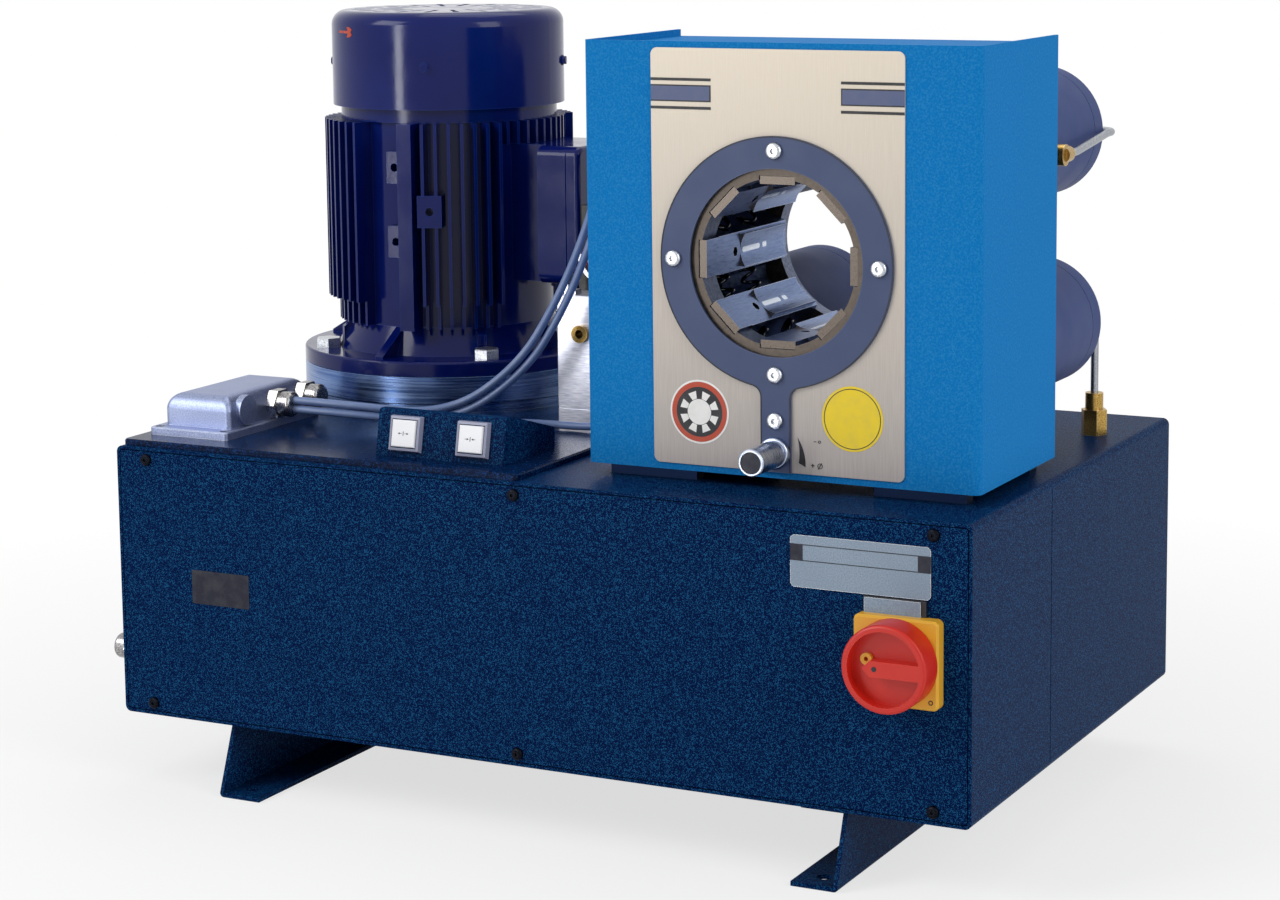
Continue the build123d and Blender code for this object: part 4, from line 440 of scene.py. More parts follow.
# ---------------------------------------------------------------- pieces
def shaped(name, build):
    """Mesh made by a bmesh function, its faces pointing outwards."""
    mesh = bpy.data.meshes.new(name)
    shape = bmesh.new()
    build(shape)
    bmesh.ops.recalc_face_normals(shape, faces=shape.faces)
    shape.to_mesh(mesh)
    shape.free()
    return mesh


def piece(name, build, look, body="machine", smooth=False):
    """Finished mesh piece made by a bmesh function, riding on a body."""
    mesh = shaped(name, build)
    new = bpy.data.objects.new(name, mesh)
    bpy.context.scene.collection.objects.link(new)
    mesh.materials.append(look)
    for face in mesh.polygons:
        face.use_smooth = smooth
    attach(new, body)
    return new


def slab(shape, outline, front, thick):
    """Plate that faces the operator; its outline is a list of (x, z) points."""
    rim = [shape.verts.new((x, front, z)) for x, z in outline]
    back = [shape.verts.new((x, front + thick, z)) for x, z in outline]
    shape.faces.new(rim)
    shape.faces.new(back[::-1])
    for i in range(len(rim)):
        shape.faces.new((rim[i - 1], rim[i], back[i], back[i - 1]))


def strip(shape, outer, inner, front, thick, closed=True):
    """Band between two outlines with as many points each."""
    rows = []
    for line, y in ((outer, front), (inner, front), (inner, front + thick), (outer, front + thick)):
        rows.append([shape.verts.new((x, y, z)) for x, z in line])
    count = len(outer)
    for i in range(0 if closed else 1, count):
        for near, far in zip(rows, rows[1:] + rows[:1]):
            shape.faces.new((near[i - 1], near[i], far[i], far[i - 1]))
    if not closed:
        shape.faces.new([row[0] for row in rows])
        shape.faces.new([row[-1] for row in rows])


def arc(x, z, radius, start=0.0, end=2 * math.pi, steps=72):
    """Points on an arc; a full turn leaves out the last one."""
    full = abs(end - start - 2 * math.pi) < 1e-6
    count = steps if full else steps + 1
    turns = [start + (end - start) * i / steps for i in range(count)]
    return [(x + radius * math.cos(turn), z + radius * math.sin(turn)) for turn in turns]


def rounded(x0, z0, x1, z1, radius):
    """Outline of a rectangle with rounded corners."""
    left, right, low, high = x0 + radius, x1 - radius, z0 + radius, z1 - radius
    points = []
    for quarter, (x, z) in enumerate(((right, high), (left, high), (left, low), (right, low))):
        points += arc(x, z, radius, quarter * math.pi / 2, (quarter + 1) * math.pi / 2, 6)
    return points


def bar(x0, z0, x1, z1):
    """Outline of a plain rectangle."""
    return [(x0, z0), (x1, z0), (x1, z1), (x0, z1)]


foil = 0.25 * mm
sunk = 0.1 * mm


def printed(name, outlines, look, surface, layer=0, body="machine"):
    """Thin printed areas on a surface that faces the operator; layers lie on one another."""
    front = surface - foil - layer * sunk

    def build(shape):
        for outline in outlines:
            slab(shape, outline, front, foil + sunk)

    return piece(name, build, look, body)


# ---------------------------------------------------------------- shapes that repeat or follow a curve
def grown_tree(name, inputs):
    """Geometry Nodes tree with named inputs, and the sockets that give them."""
    tree = bpy.data.node_groups.new(name, "GeometryNodeTree")
    for label, kind in inputs.items():
        tree.interface.new_socket(label, in_out="INPUT", socket_type=f"NodeSocket{kind}")
    tree.interface.new_socket("Result", in_out="OUTPUT", socket_type="NodeSocketGeometry")
    return tree, tree.nodes.new("NodeGroupInput").outputs


def end_tree(tree, given, geometry):
    """Makes a tree's copies real, gives them their material and hands them out."""
    real = add(tree, "GeometryNodeRealizeInstances", {"Geometry": geometry})
    dressed = add(tree, "GeometryNodeSetMaterial", {"Geometry": real, "Material": given["Material"]})
    add(tree, "NodeGroupOutput", {"Result": dressed})
    return tree


def ring_of_copies():
    """Tree that repeats an element about a centre, each copy turned a step further."""
    inputs = {"Element": "Geometry", "Count": "Int", "Centre": "Vector", "First Turn": "Vector"}
    inputs |= {"Step": "Vector", "Material": "Material"}
    tree, given = grown_tree("ring_of_copies", inputs)
    points = add(tree, "GeometryNodeMeshLine", {"Count": given["Count"], "Offset": (0.0, 0.0, 0.0)})
    index = add(tree, "GeometryNodeInputIndex")
    further = add(tree, VECTORS, {0: given["Step"], "Scale": index}, operation="SCALE")
    turn = add(tree, VECTORS, {0: given["First Turn"], 1: further}, operation="ADD")
    inputs = {"Points": points, "Instance": given["Element"], "Rotation": turn}
    copies = add(tree, "GeometryNodeInstanceOnPoints", inputs)
    inputs = {"Geometry": copies, "Translation": given["Centre"]}
    return end_tree(tree, given, add(tree, "GeometryNodeTransform", inputs))


def corner_copies():
    """Tree that repeats an element at the corners of a level rectangle."""
    inputs = {"Element": "Geometry", "Length": "Float", "Width": "Float", "Centre": "Vector"}
    inputs |= {"Material": "Material"}
    tree, given = grown_tree("corner_copies", inputs)
    inputs = {"Size X": given["Length"], "Size Y": given["Width"], "Vertices X": 2, "Vertices Y": 2}
    corners = add(tree, "GeometryNodeMeshGrid", inputs)
    copies = add(tree, "GeometryNodeInstanceOnPoints", {"Points": corners, "Instance": given["Element"]})
    inputs = {"Geometry": copies, "Translation": given["Centre"]}
    return end_tree(tree, given, add(tree, "GeometryNodeTransform", inputs))


def wound_wire():
    """Tree that winds a round wire into a coil; bunching draws its first and last turns closer."""
    inputs = {"Turns": "Float", "Points": "Int", "Sides": "Int", "Length": "Float", "Coil Radius": "Float"}
    inputs |= {"Wire": "Float", "Bunching": "Float", "Seat": "Vector", "Lean": "Vector"}
    inputs |= {"Material": "Material"}
    tree, given = grown_tree("wound_wire", inputs)
    index = add(tree, "GeometryNodeInputIndex")
    last = add(tree, MATHS, {0: given["Points"], 1: 1.0}, operation="SUBTRACT")
    share = add(tree, MATHS, {0: index, 1: last}, operation="DIVIDE")
    once_round = add(tree, MATHS, {0: share, 1: 2 * math.pi}, operation="MULTIPLY")
    wave = add(tree, MATHS, {0: once_round}, operation="SINE")
    wave = add(tree, MATHS, {0: wave, 1: given["Bunching"]}, operation="MULTIPLY")
    wave = add(tree, MATHS, {0: wave, 1: 2 * math.pi}, operation="DIVIDE")
    eased = add(tree, MATHS, {0: share, 1: wave}, operation="SUBTRACT")
    turn = add(tree, MATHS, {0: once_round, 1: given["Turns"]}, operation="MULTIPLY")
    cosine = add(tree, MATHS, {0: turn}, operation="COSINE")
    sine = add(tree, MATHS, {0: turn}, operation="SINE")
    half_wire = add(tree, MATHS, {0: given["Wire"], 1: 0.5}, operation="MULTIPLY")
    climb = add(tree, MATHS, {0: given["Length"], 1: given["Wire"]}, operation="SUBTRACT")
    coords = {
        "X": add(tree, MATHS, {0: cosine, 1: given["Coil Radius"]}, operation="MULTIPLY"),
        "Y": add(tree, MATHS, {0: sine, 1: given["Coil Radius"]}, operation="MULTIPLY"),
        "Z": add(tree, MATHS, {0: eased, 1: climb, 2: half_wire}, operation="MULTIPLY_ADD"),
    }
    place = add(tree, "ShaderNodeCombineXYZ", coords)
    line = add(tree, "GeometryNodeCurvePrimitiveLine")
    line = add(tree, "GeometryNodeResampleCurve", {"Curve": line, "Count": given["Points"]})
    path = add(tree, "GeometryNodeSetPosition", {"Geometry": line, "Position": place})
    inputs = {"Resolution": given["Sides"], "Radius": half_wire}
    section = add(tree, "GeometryNodeCurvePrimitiveCircle", inputs)
    inputs = {"Curve": path, "Profile Curve": section, "Fill Caps": True}
    wire = add(tree, "GeometryNodeCurveToMesh", inputs)
    inputs = {"Geometry": wire, "Translation": given["Seat"], "Rotation": given["Lean"]}
    return end_tree(tree, given, add(tree, "GeometryNodeTransform", inputs))


def grow(tree, look, sizes, element=None):
    """Plain mesh that a tree makes from its named sizes and, where it takes one, an element."""
    holder = bpy.data.objects.new(tree.name, element or bpy.data.meshes.new(tree.name))
    bpy.context.scene.collection.objects.link(holder)
    modifier = holder.modifiers.new(tree.name, "NODES")
    modifier.node_group = tree
    for socket in tree.interface.items_tree:
        if socket.name in sizes:
            modifier[socket.identifier] = sizes[socket.name]
        elif socket.name == "Material":
            modifier[socket.identifier] = look
    evaluated = holder.evaluated_get(bpy.context.evaluated_depsgraph_get())
    grown = bpy.data.meshes.new_from_object(evaluated)
    bpy.data.objects.remove(holder)
    return grown


ring_tree, corner_tree, coil_tree = ring_of_copies(), corner_copies(), wound_wire()


# ---------------------------------------------------------------- front panel
def label_plates():
    """Bare name plate, label beside the switch and the dark patch at the left."""
    surface = panel_low.y
    x0, x1 = panel_high.x - 131.0 * mm, panel_high.x - 26.4 * mm
    z0, z1 = panel_high.z - 51.8 * mm, panel_high.z - 14.8 * mm
    band_low, band_high = z1 - 18.2 * mm, z1 - 6.4 * mm
    line = 0.6 * mm
    tab = 9.4 * mm

    def plate(shape):
        slab(shape, rounded(x0, z0, x1, z1, 3.5 * mm), surface - 1.0 * mm, 1.0 * mm + sunk)

    piece("name_plate", plate, plate_silver)
    lines = [bar(x0 + sunk, z, x1 - sunk, z + line) for z in (band_low, band_high - line)]
    ends = [bar(x0 + sunk, band_low, x0 + tab, band_high), bar(x1 - tab, band_low, x1 - sunk, band_high)]
    printed("name_plate_lines", lines, ink["black"], surface - 1.0 * mm)
    printed("name_plate_ends", ends, ink["navy"], surface - 1.0 * mm, 1)

    label_x0, label_top = switch_low.x + 5.0 * mm, switch_high.z + 10.6 * mm

    def backing(shape):
        edge = 0.8 * mm
        outline = bar(label_x0 - edge, switch_high.z - 1.0 * mm, label_x0 + 45.5 * mm, label_top + edge)
        slab(shape, outline, surface - 1.6 * mm, 1.6 * mm + sunk)

    def label(shape):
        outline = rounded(label_x0, label_top - 13.0 * mm, label_x0 + 41.8 * mm, label_top, 0.8 * mm)
        slab(shape, outline, surface - 2.4 * mm, 0.9 * mm)

    piece("label_backing", backing, finish["coil_black"])
    piece("label", label, plate_silver)

    patch_x, patch_z = panel_low.x + 64.5 * mm, panel_low.z + 90.5 * mm
    patch = rounded(patch_x, patch_z, patch_x + 52.8 * mm, patch_z + 26.5 * mm, 1.5 * mm)
    printed("dark_patch", [patch], ink["navy"], surface)


def switch_details():
    """Padlock tab, centre pin and the small mark on the switch."""
    centre = (switch_low + switch_high) / 2
    floor = switch_knob_front + 10.0 * mm
    tab_x, tab_z = centre.x - 15.2 * mm, centre.z + 4.6 * mm

    def tab(shape):
        outer = arc(tab_x, tab_z, 4.2 * mm, 0.0, 2 * math.pi, 28)
        inner = arc(tab_x, tab_z, 1.7 * mm, 0.0, 2 * math.pi, 28)
        strip(shape, outer, inner, floor - 3.0 * mm, 3.0 * mm + sunk)

    piece("padlock_tab", tab, finish["switch_yellow"], "switch_knob")
    pin = arc(centre.x - 6.5 * mm, centre.z, 1.8 * mm, 0.0, 2 * math.pi, 20)
    printed("grip_pin", [pin], ink["black"], switch_knob_front, 0, "switch_knob")
    spot = (switch_high.x - 5.2 * mm, switch_low.z + 6.0 * mm)

    def mark(shape):
        outer, inner = (arc(*spot, radius, steps=24) for radius in (1.7 * mm, 1.1 * mm))
        strip(shape, outer, inner, switch_low.y - foil, foil + sunk)

    piece("plate_mark", mark, ink["black"])


# ---------------------------------------------------------------- head
def face_stripes():
    """Slate band between two thin lines at each side of the face plate's bare middle."""
    surface = face_low.y
    length = 47.5 * mm
    top, band_top, band_low, low = (face_high.z - drop * mm for drop in (21.4, 27.2, 37.2, 43.6))
    for side, x0 in (("left", face_low.x), ("right", face_high.x - length)):
        x0, x1 = x0 + sunk, x0 + length - sunk
        lines = [bar(x0, top - 2.0 * mm, x1, top), bar(x0, low, x1, low + 2.0 * mm)]
        edge = 1.0 * mm
        lines.append(bar(x0, band_low - edge, x1, band_top + edge))
        inner = (x0, x1 - edge) if side == "left" else (x0 + edge, x1)
        printed(f"stripe_lines_{side}", lines, ink["black"], surface)
        band = bar(inner[0], band_low, inner[1], band_top)
        printed(f"stripe_band_{side}", [band], ink["slate"], surface, 1)


def signs():
    """Two round plates low on the face: one with a collet symbol, one plain yellow."""
    surface = face_low.y
    left = (bore.x - 60.7 * mm, bore.z - 110.5 * mm)
    right = (bore.x + 58.4 * mm, bore.z - 107.3 * mm)
    radius = 23.3 * mm
    printed("left_sign_rim", [arc(*left, radius)], ink["white"], surface)
    printed("left_sign_ring", [arc(*left, 0.94 * radius)], ink["red"], surface, 1)
    printed("left_sign_centre", [arc(*left, 0.78 * radius)], ink["black"], surface, 2)
    jaw_front = surface - foil - 3 * sunk
    wide, narrow = math.radians(12.5), math.radians(11.0)

    def jaw(shape):
        outline = [
            (share * radius * math.cos(spread), share * radius * math.sin(spread))
            for share, spread in ((0.66, -wide), (0.66, wide), (0.42, narrow), (0.42, -narrow))
        ]
        slab(shape, outline, jaw_front, foil + sunk)

    step = -math.pi / 4
    sizes = {"Count": 8, "Centre": (left[0], 0.0, left[1])}
    sizes |= {"First Turn": (0.0, step / 2, 0.0), "Step": (0.0, step, 0.0)}
    jaws = grow(ring_tree, ink["white"], sizes, shaped("jaw", jaw))

    def collet(shape):
        shape.from_mesh(jaws)
        slab(shape, arc(*left, 0.40 * radius), jaw_front, foil + sunk)

    piece("left_sign_jaws", collet, ink["white"])
    printed("right_sign", [arc(*right, radius)], ink["yellow"], surface)

    def ring(shape):
        front = surface - foil - sunk
        strip(shape, arc(*right, 0.93 * radius), arc(*right, 0.905 * radius), front, foil)

    piece("right_sign_ring", ring, ink["black"])


def adjuster_scale():
    """Crescent beside the adjuster that grows from minus to plus diameter."""
    surface = face_low.y
    x, z = bore.x, bore.z
    tip, tail, heel = (16.4, -123.6), (17.2, -141.8), (22.4, -144.4)
    bulge_in, bulge_out = (18.8, -133.0), (22.6, -133.0)
    steps = 10

    def curve(start, bend, end):
        points = []
        for i in range(steps + 1):
            t = i / steps
            points.append(
                tuple((1 - t) ** 2 * start[k] + 2 * t * (1 - t) * bend[k] + t**2 * end[k] for k in (0, 1))
            )
        return points

    outline = curve(tip, bulge_out, heel) + curve(tail, bulge_in, tip)[:-1]
    crescent = [(x + px * mm, z + pz * mm) for px, pz in outline]
    minus = bar(x + 28.8 * mm, z - 125.8 * mm, x + 30.8 * mm, z - 125.3 * mm)
    plus = [
        bar(x + 26.7 * mm, z - 143.1 * mm, x + 29.3 * mm, z - 142.5 * mm),
        bar(x + 27.7 * mm, z - 144.1 * mm, x + 28.3 * mm, z - 141.5 * mm),
    ]
    slant = ((31.9, -145.2), (32.5, -145.2), (35.3, -140.6), (34.7, -140.6))
    slash = [(x + px * mm, z + pz * mm) for px, pz in slant]
    printed("adjuster_marks", [crescent, minus] + plus[:1], ink["black"], surface)
    printed("adjuster_cross", [plus[1], slash], ink["black"], surface, 1)

    def rings(shape):
        for px, pz, radius in ((33.6, -142.9, 2.0), (33.2, -125.5, 1.1)):
            place = (x + px * mm, z + pz * mm)
            outer, inner = arc(*place, radius * mm, steps=28), arc(*place, (radius - 0.45) * mm, steps=28)
            strip(shape, outer, inner, surface - foil, foil + sunk)

    piece("adjuster_rings", rings, ink["black"])


def mask_edge_shade():
    """Dark line along the edge of the slate mask and its tongue: painted shade where the edge of the mask
    sheet lies in shadow.
    """
    radius = mask_high.z - bore.z
    half = 11.7 * mm
    throat = 8.0 * mm
    width = 0.9 * mm
    centre_x = half + throat
    centre_z = -math.sqrt((radius + throat) ** 2 - centre_x**2)
    meet = math.atan2(centre_z, centre_x)
    low = mask_low.z - bore.z

    def line(inset):
        points = [(half - inset, low)]
        points += arc(centre_x, centre_z, throat + inset, math.pi, math.pi + meet, 8)
        points += arc(0.0, 0.0, radius - inset, meet, math.pi - meet, 120)
        points += [(-px, pz) for px, pz in points[8::-1]] + [(-half + inset, low)]
        return [(bore.x + px, bore.z + pz) for px, pz in points]

    def build(shape):
        strip(shape, line(sunk), line(width), mask_low.y - foil, foil + sunk, closed=False)

    # painted shade: a black strip along the mask's edge
    piece("mask_edge_painted_shade", build, ink["black"])


def adjuster_end():
    """Dark disc let into the end of the adjuster knob."""
    x, z = (adjuster_low.x + adjuster_high.x) / 2, (adjuster_low.z + adjuster_high.z) / 2
    radius = (adjuster_high.x - adjuster_low.x) / 2 - 1.9 * mm
    disc = arc(x, z, radius, steps=48)
    printed("adjuster_disc", [disc], ink["navy"], adjuster_low.y + 1.0 * mm, 0, "adjuster_knob")


# ---------------------------------------------------------------- dies
def opening_springs():
    """Coil springs between neighbouring dies, each riding on one die; the real springs shorten as the dies
    close, these keep their length.
    """
    coil_radius, wire = 6.0 * mm, 2.6 * mm
    length, seat_from_middle = 30.54 * mm, 15.42 * mm
    circle = 68.0 * mm
    turns, points_per_turn, sides = 4.0, 28, 10
    half_pitch = math.radians(22.5)
    sizes = {"Turns": turns, "Points": int(turns * points_per_turn) + 1, "Sides": sides, "Length": length}
    sizes |= {"Coil Radius": coil_radius, "Wire": wire, "Bunching": 0.55}
    for group in range(1, 5):
        node = f"die_springs_{group}"
        low, high = box(node)
        die_number = 2 * group - 1
        angle = (group - 1) * math.pi / 2
        rows = (low.y + coil_radius + wire / 2, high.y - coil_radius - wire / 2)
        for side in (-1, 1):
            between = angle + side * half_pitch
            outward = Vector((math.cos(between), 0, math.sin(between)))
            to_neighbour = Vector((-math.sin(between), 0, math.cos(between))) * side
            lean = Matrix((outward, to_neighbour.cross(outward), to_neighbour)).transposed().to_euler()
            for row, y in enumerate(rows, start=1):
                seat = Vector((bore.x, y, bore.z)) + outward * circle - to_neighbour * seat_from_middle
                place = {"Seat": tuple(seat), "Lean": tuple(lean)}
                wound = grow(coil_tree, finish["spring_steel"], sizes | place)

                def build(shape, wound=wound):
                    shape.from_mesh(wound)

                name = f"spring_{die_number}_{'a' if side < 0 else 'b'}_{row}"
                spring = piece(name, build, finish["spring_steel"], f"die_{die_number}", smooth=True)
                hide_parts(node)
                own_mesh(spring)


# ---------------------------------------------------------------- push-button box
def button_trim():
    """Grey bezel round each lens and a small closing or opening arrow pair on it."""
    for node, name, inward in (("open_button", "open", -1), ("close_button", "close", 1)):
        lens, normal = leaning_face(node, (0, -1, 0.2))
        right = Vector((1, 0, 0))
        up = normal.cross(right)

        def place(u, v, out, origin=lens, right=right, up=up, normal=normal):
            return origin + right * u * mm + up * v * mm + normal * out * mm

        def bezel(shape, place=place):
            square = ((-1, -1), (1, -1), (1, 1), (-1, 1))
            rows = []
            for half, out in ((13.6, -6.0), (12.7, -1.6), (11.0, -1.2), (10.6, -3.6)):
                rows.append([shape.verts.new(place(u * half, v * half, out)) for u, v in square])
            for near, far in zip(rows, rows[1:]):
                for i in range(4):
                    shape.faces.new((near[i - 1], near[i], far[i], far[i - 1]))

        def arrows(shape, place=place, inward=inward):
            def flat(points):
                low = [shape.verts.new(place(u, v, -0.1)) for u, v in points]
                high = [shape.verts.new(place(u, v, 0.12)) for u, v in points]
                shape.faces.new(high)
                shape.faces.new(low[::-1])
                for i in range(len(points)):
                    shape.faces.new((low[i - 1], low[i], high[i], high[i - 1]))

            flat([(-0.25, -1.6), (0.25, -1.6), (0.25, 1.6), (-0.25, 1.6)])
            for side in (-1, 1):
                near, far = 1.2 * side, 4.6 * side
                flat([(near, -0.15), (far, -0.15), (far, 0.15), (near, 0.15)])
                tip, root = (near, near + 1.6 * side) if inward > 0 else (far, far - 1.6 * side)
                flat([(tip, 0.0), (root, 0.8), (root, -0.8)])

        piece(f"{name}_bezel", bezel, bezel_plastic)
        piece(f"{name}_arrows", arrows, ink["black"], node)


# ---------------------------------------------------------------- junction box, cowl and gauge
def junction_screws():
    """Black screws in the corners of the junction box base."""
    inset, radius, rise = 6.0 * mm, 3.4 * mm, 1.4 * mm
    size = junction_high - junction_low
    centre = (junction_low + junction_high) / 2
    centre.z = junction_high.z - 1.9 * mm

    def head(shape):
        sizes = {"radius1": radius, "radius2": 0.8 * radius, "depth": rise}
        place = Matrix.Translation((0.0, 0.0, rise / 2))
        bmesh.ops.create_cone(shape, cap_ends=True, segments=24, matrix=place, **sizes)

    sizes = {"Length": size.x - 2 * inset, "Width": size.y - 2 * inset, "Centre": tuple(centre)}
    heads = grow(corner_tree, finish["screw_black"], sizes, shaped("screw_head", head))
    piece("junction_screws", lambda shape: shape.from_mesh(heads), finish["screw_black"])


def cowl_trim():
    """Screws round the fan cowl and a small arrow for the turning direction."""
    axis = (cowl_low + cowl_high) / 2
    radius = (cowl_high.x - cowl_low.x) / 2
    screw_z = cowl_low.z + 34.5 * mm
    screw_radius = 4.4 * mm

    def on_cowl(turn, rise, z, out):
        reach = radius + out
        return Vector((axis.x + reach * math.cos(turn), axis.y + reach * math.sin(turn), z + rise))

    def screw(shape):
        upright = Matrix.Rotation(math.pi / 2, 4, "Z") @ Matrix.Rotation(math.pi / 2, 4, "X")
        for size, depth, sides in ((screw_radius, 1.0 * mm, 32), (0.75 * screw_radius, 3.4 * mm, 6)):
            place = Matrix.Translation((radius + depth / 2, 0.0, 0.0)) @ upright
            sizes = {"radius1": size, "radius2": size, "depth": depth}
            bmesh.ops.create_cone(shape, cap_ends=True, segments=sides, matrix=place, **sizes)

    sizes = {"Count": 4, "Centre": (axis.x, axis.y, screw_z)}
    sizes |= {"First Turn": (0.0, 0.0, math.radians(-70.8)), "Step": (0.0, 0.0, math.pi / 2)}
    screws = grow(ring_tree, finish["motor_enamel"], sizes, shaped("cowl_screw", screw))
    piece("cowl_screws", lambda shape: shape.from_mesh(screws), finish["motor_enamel"])

    def arrow(shape):
        start = math.radians(-126.0)
        z = cowl_high.z - 16.5 * mm
        shaft = [(0.0, -1.0), (0.0, 1.0), (15.5, 1.0), (15.5, -1.0)]
        upper = [(15.5, 1.0), (14.0, 4.2), (18.0, 4.2), (21.5, 2.2)]
        head = [(15.5, -1.0)] + upper + [(19.6, 0.0)] + [(u, -v) for u, v in upper[:0:-1]]
        for points in (shaft, head):
            near, far = (
                [shape.verts.new(on_cowl(start + u * mm / radius, v * mm, z, out)) for u, v in points]
                for out in (0.05 * mm, 0.3 * mm)
            )
            shape.faces.new(far)
            shape.faces.new(near[::-1])
            for i in range(len(points)):
                shape.faces.new((near[i - 1], near[i], far[i], far[i - 1]))

    piece("turning_arrow", arrow, ink["red"])


def gauge_dial():
    """White dial with a ring of ticks and a red limit ring."""
    x, z = (gauge_low.x + gauge_high.x) / 2, gauge_high.z - (gauge_high.x - gauge_low.x) / 2
    radius = (gauge_high.x - gauge_low.x) / 2 - 3.1 * mm
    surface = gauge_low.y + 5.0 * mm
    printed("gauge_dial", [arc(x, z, radius)], ink["white"], surface)

    def limit(shape):
        outer, inner = arc(x, z, radius - 0.2 * mm), arc(x, z, radius - 1.8 * mm)
        strip(shape, outer, inner, surface - foil - sunk, foil)

    piece("gauge_limit_ring", limit, ink["red"])

    def tick(near, half):
        def build(shape):
            outline = bar(radius - near * mm, -half * mm, radius - 2.6 * mm, half * mm)
            slab(shape, outline, surface - foil - sunk, foil + sunk)

        return shaped("tick", build)

    first, step = math.radians(-225), math.radians(13.5)
    whole = {"Centre": (x, 0.0, z), "First Turn": (0.0, first, 0.0), "Step": (0.0, 5 * step, 0.0)}
    part = {"Centre": (0.0, 0.0, 0.0), "First Turn": (0.0, step, 0.0), "Step": (0.0, step, 0.0), "Count": 4}
    long_ticks = grow(ring_tree, ink["black"], whole | {"Count": 5}, tick(6.5, 0.35))
    between = grow(ring_tree, ink["black"], part, tick(4.6, 0.2))
    short_ticks = grow(ring_tree, ink["black"], whole | {"Count": 4}, between)

    def ticks(shape):
        shape.from_mesh(long_ticks)
        shape.from_mesh(short_ticks)

    piece("gauge_ticks", ticks, ink["black"])


# ---------------------------------------------------------------- cables
cable_radius = 3.1 * mm
upper_route = [
    (-256, -118, 294),
    (-212, -118, 294),
    (-138, -82, 284.5),
    (-80, -70, 325),
    (-53, -55, 375),
    (-34, -45, 425),
    (-20, -45, 465.5),
    (15, -45, 465.5),
]
lower_route = [
    (-256, -118, 287),
    (-212, -118, 287),
    (-136, -80, 277),
    (-74, -67, 320.5),
    (-46.5, -52, 372.5),
    (-27, -45, 422.5),
    (-15, -45, 458.5),
    (15, -45, 458.5),
]
button_route = [
    (-100, -108, 281),
    (-100, -76, 281),
    (-70, -46, 277),
    (-24, -45, 276.6),
    (2, -45, 285),
    (30, -45, 285),
]


def cable(name, route, node):
    """Round cable on one smooth curve between its two glands."""
    line = bpy.data.curves.new(name, "CURVE")
    line.dimensions = "3D"
    spline = line.splines.new("NURBS")
    spline.points.add(len(route) - 1)
    for point, (x, y, z) in zip(spline.points, route):
        point.co = (x * mm, y * mm, z * mm, 1.0)
    spline.order_u = 3
    spline.use_endpoint_u = True
    spline.resolution_u = 12
    line.bevel_depth = cable_radius
    line.bevel_resolution = 5
    line.use_fill_caps = True
    new = bpy.data.objects.new(name, line)
    bpy.context.scene.collection.objects.link(new)
    line.materials.append(finish["cable_grey"])
    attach(new, "machine")
    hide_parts(node)


# ---------------------------------------------------------------- studio
CAMERA = {"focal": 2991.5, "shift": 150.0}
CAMERA |= {"place": (1.0582, -2.0742, 0.6997), "turn": (27.201, 7.985, -0.618)}
PICTURE_WIDTH = 1280
WHITE = (1.0, 1.0, 1.0, 1.0)


def rays_that_show_white(tree):
    """1 for what the camera sees straight, in a mirror or through glass."""
    seen = add(tree, "ShaderNodeLightPath", output="Is Camera Ray")
    for other in ("Is Glossy Ray", "Is Transmission Ray"):
        ray = add(tree, "ShaderNodeLightPath", output=other)
        seen = add(tree, MATHS, {0: seen, 1: ray}, operation="MAXIMUM")
    return seen


def pale_floor():
    """Wide white floor that keeps part of the machine's shadow near it."""
    name, shadow_share, clear = "pale_studio_floor", 0.3, 1.1
    look, tree = material(name)
    inputs = {"Base Color": "F4F4F4", "Roughness": 0.9, "Specular IOR Level": 0.1}
    shaded = add(tree, "ShaderNodeBsdfPrincipled", inputs)
    glow = add(tree, "ShaderNodeEmission", {"Color": WHITE, "Strength": 1.0})
    place = add(tree, PLACE, output="Object")
    far = add(tree, VECTORS, {0: place}, "Value", operation="LENGTH")
    inputs = {"Value": far, "From Min": 0.4 * clear, "From Max": clear, "To Min": 1.0 - shadow_share}
    fade = add(tree, RANGE, inputs)
    share = add(tree, MATHS, {0: rays_that_show_white(tree), 1: fade}, operation="MULTIPLY")
    both = add(tree, "ShaderNodeMixShader", {0: share, 1: shaded, 2: glow})
    add(tree, "ShaderNodeOutputMaterial", {"Surface": both})
    half, drop = 5.0, -0.0005
    corners_of_floor = [(-half, -half, drop), (half, -half, drop), (half, half, drop), (-half, half, drop)]
    mesh = bpy.data.meshes.new(name)
    mesh.from_pydata(corners_of_floor, [], [(0, 1, 2, 3)])
    mesh.materials.append(look)
    floor = bpy.data.objects.new("floor", mesh)
    bpy.context.scene.collection.objects.link(floor)


def soft_world(level):
    """White surroundings, dimmed to a level for the light they give."""
    world = bpy.data.worlds.new("studio")
    bpy.context.scene.world = world
    world.use_nodes = True
    tree = world.node_tree
    tree.nodes.clear()
    inputs = {0: rays_that_show_white(tree), 1: 1.0 - level, 2: level}
    strength = add(tree, MATHS, inputs, operation="MULTIPLY_ADD")
    back = add(tree, "ShaderNodeBackground", {"Color": WHITE, "Strength": strength})
    add(tree, "ShaderNodeOutputWorld", {"Surface": back})


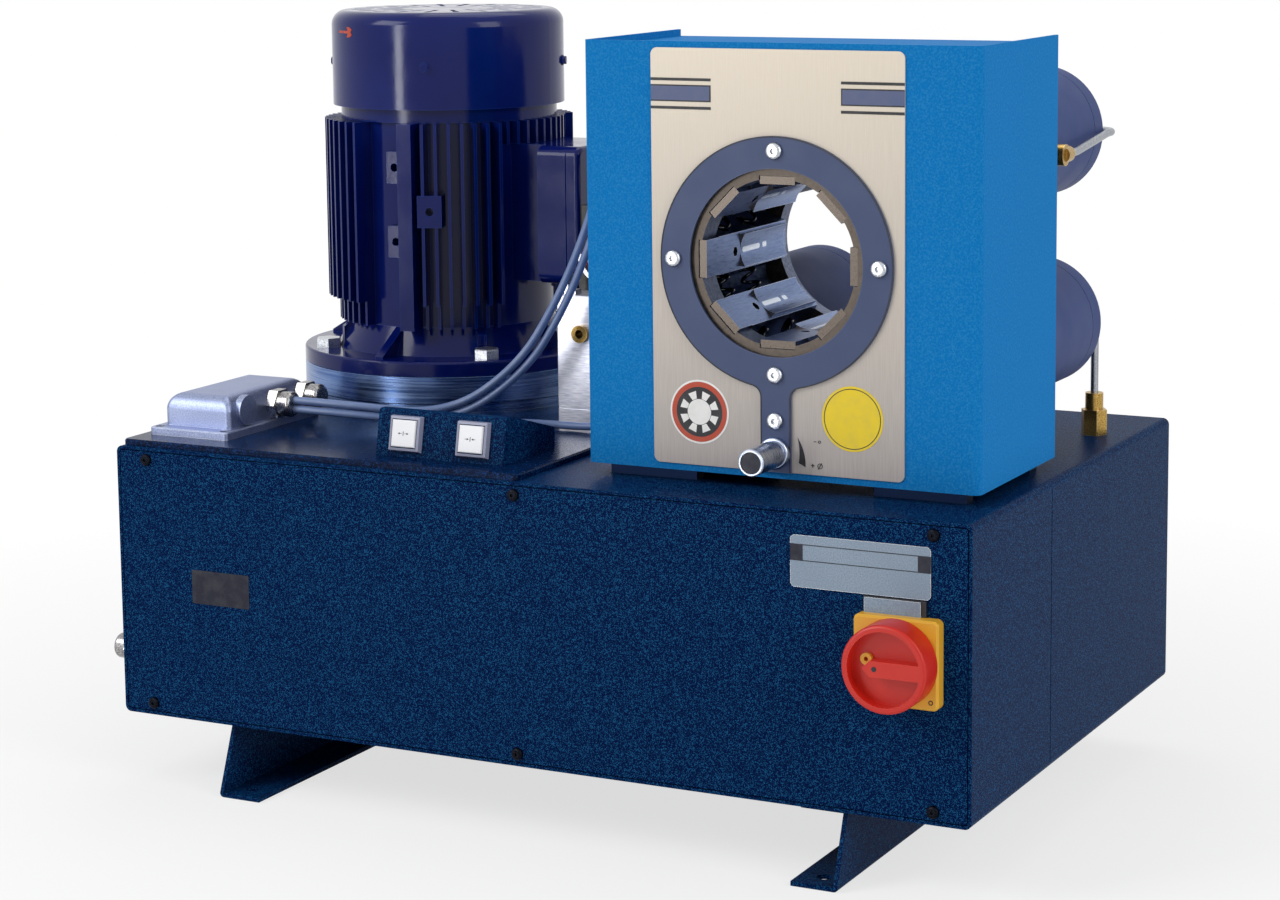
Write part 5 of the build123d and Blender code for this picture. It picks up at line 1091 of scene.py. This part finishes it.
def softbox(name, place, aim, size, power):
    """Rectangular area light."""
    lamp = bpy.data.lights.new(name, "AREA")
    lamp.shape = "RECTANGLE"
    lamp.size, lamp.size_y = size
    lamp.energy = power
    new = bpy.data.objects.new(name, lamp)
    bpy.context.scene.collection.objects.link(new)
    new.location = place
    new.rotation_euler = (Vector(aim) - Vector(place)).to_track_quat("-Z", "Y").to_euler()
    return new


def studio():
    """Camera, floor, world and lamps."""
    scene = bpy.context.scene
    scene.view_settings.view_transform = "Standard"
    lens = bpy.data.cameras.new("camera")
    lens.sensor_width = 36.0
    lens.lens = 36.0 * CAMERA["focal"] / PICTURE_WIDTH
    lens.shift_y = -CAMERA["shift"] / PICTURE_WIDTH
    lens.clip_end = 50.0
    camera = bpy.data.objects.new("camera", lens)
    scene.collection.objects.link(camera)
    yaw, pitch, roll = (math.radians(angle) for angle in CAMERA["turn"])
    swing, nod = Matrix.Rotation(yaw, 4, "Z"), Matrix.Rotation(math.pi / 2 - pitch, 4, "X")
    turn = swing @ nod @ Matrix.Rotation(roll, 4, "Z")
    camera.matrix_world = Matrix.Translation(CAMERA["place"]) @ turn
    scene.camera = camera
    pale_floor()
    soft_world(0.4)
    softbox("key_light", (-1.7, -2.0, 2.0), (-0.1, -0.1, 0.3), (1.4, 1.4), 38)
    softbox("side_light", (2.8, -0.9, 1.6), (0.2, 0.0, 0.3), (1.2, 2.0), 30)
    softbox("top_light", (-0.2, 0.8, 2.6), (0.0, 0.0, 0.3), (1.6, 1.6), 14)
    # a light that only mirrors show: it gives the cowl and the painted parts their upright highlight
    strip_light = softbox("strip_light", (-1.18, -2.76, 0.6), (-0.227, 0.08, 0.5), (0.4, 2.0), 38)
    strip_light.visible_camera = strip_light.visible_diffuse = False


label_plates()
switch_details()
face_stripes()
signs()
adjuster_scale()
mask_edge_shade()
adjuster_end()
opening_springs()
button_trim()
junction_screws()
cowl_trim()
gauge_dial()
cable("lead_upper", upper_route, "cable_upper")
cable("lead_lower", lower_route, "cable_lower")
cable("lead_buttons", button_route, "cable_buttons")
studio()
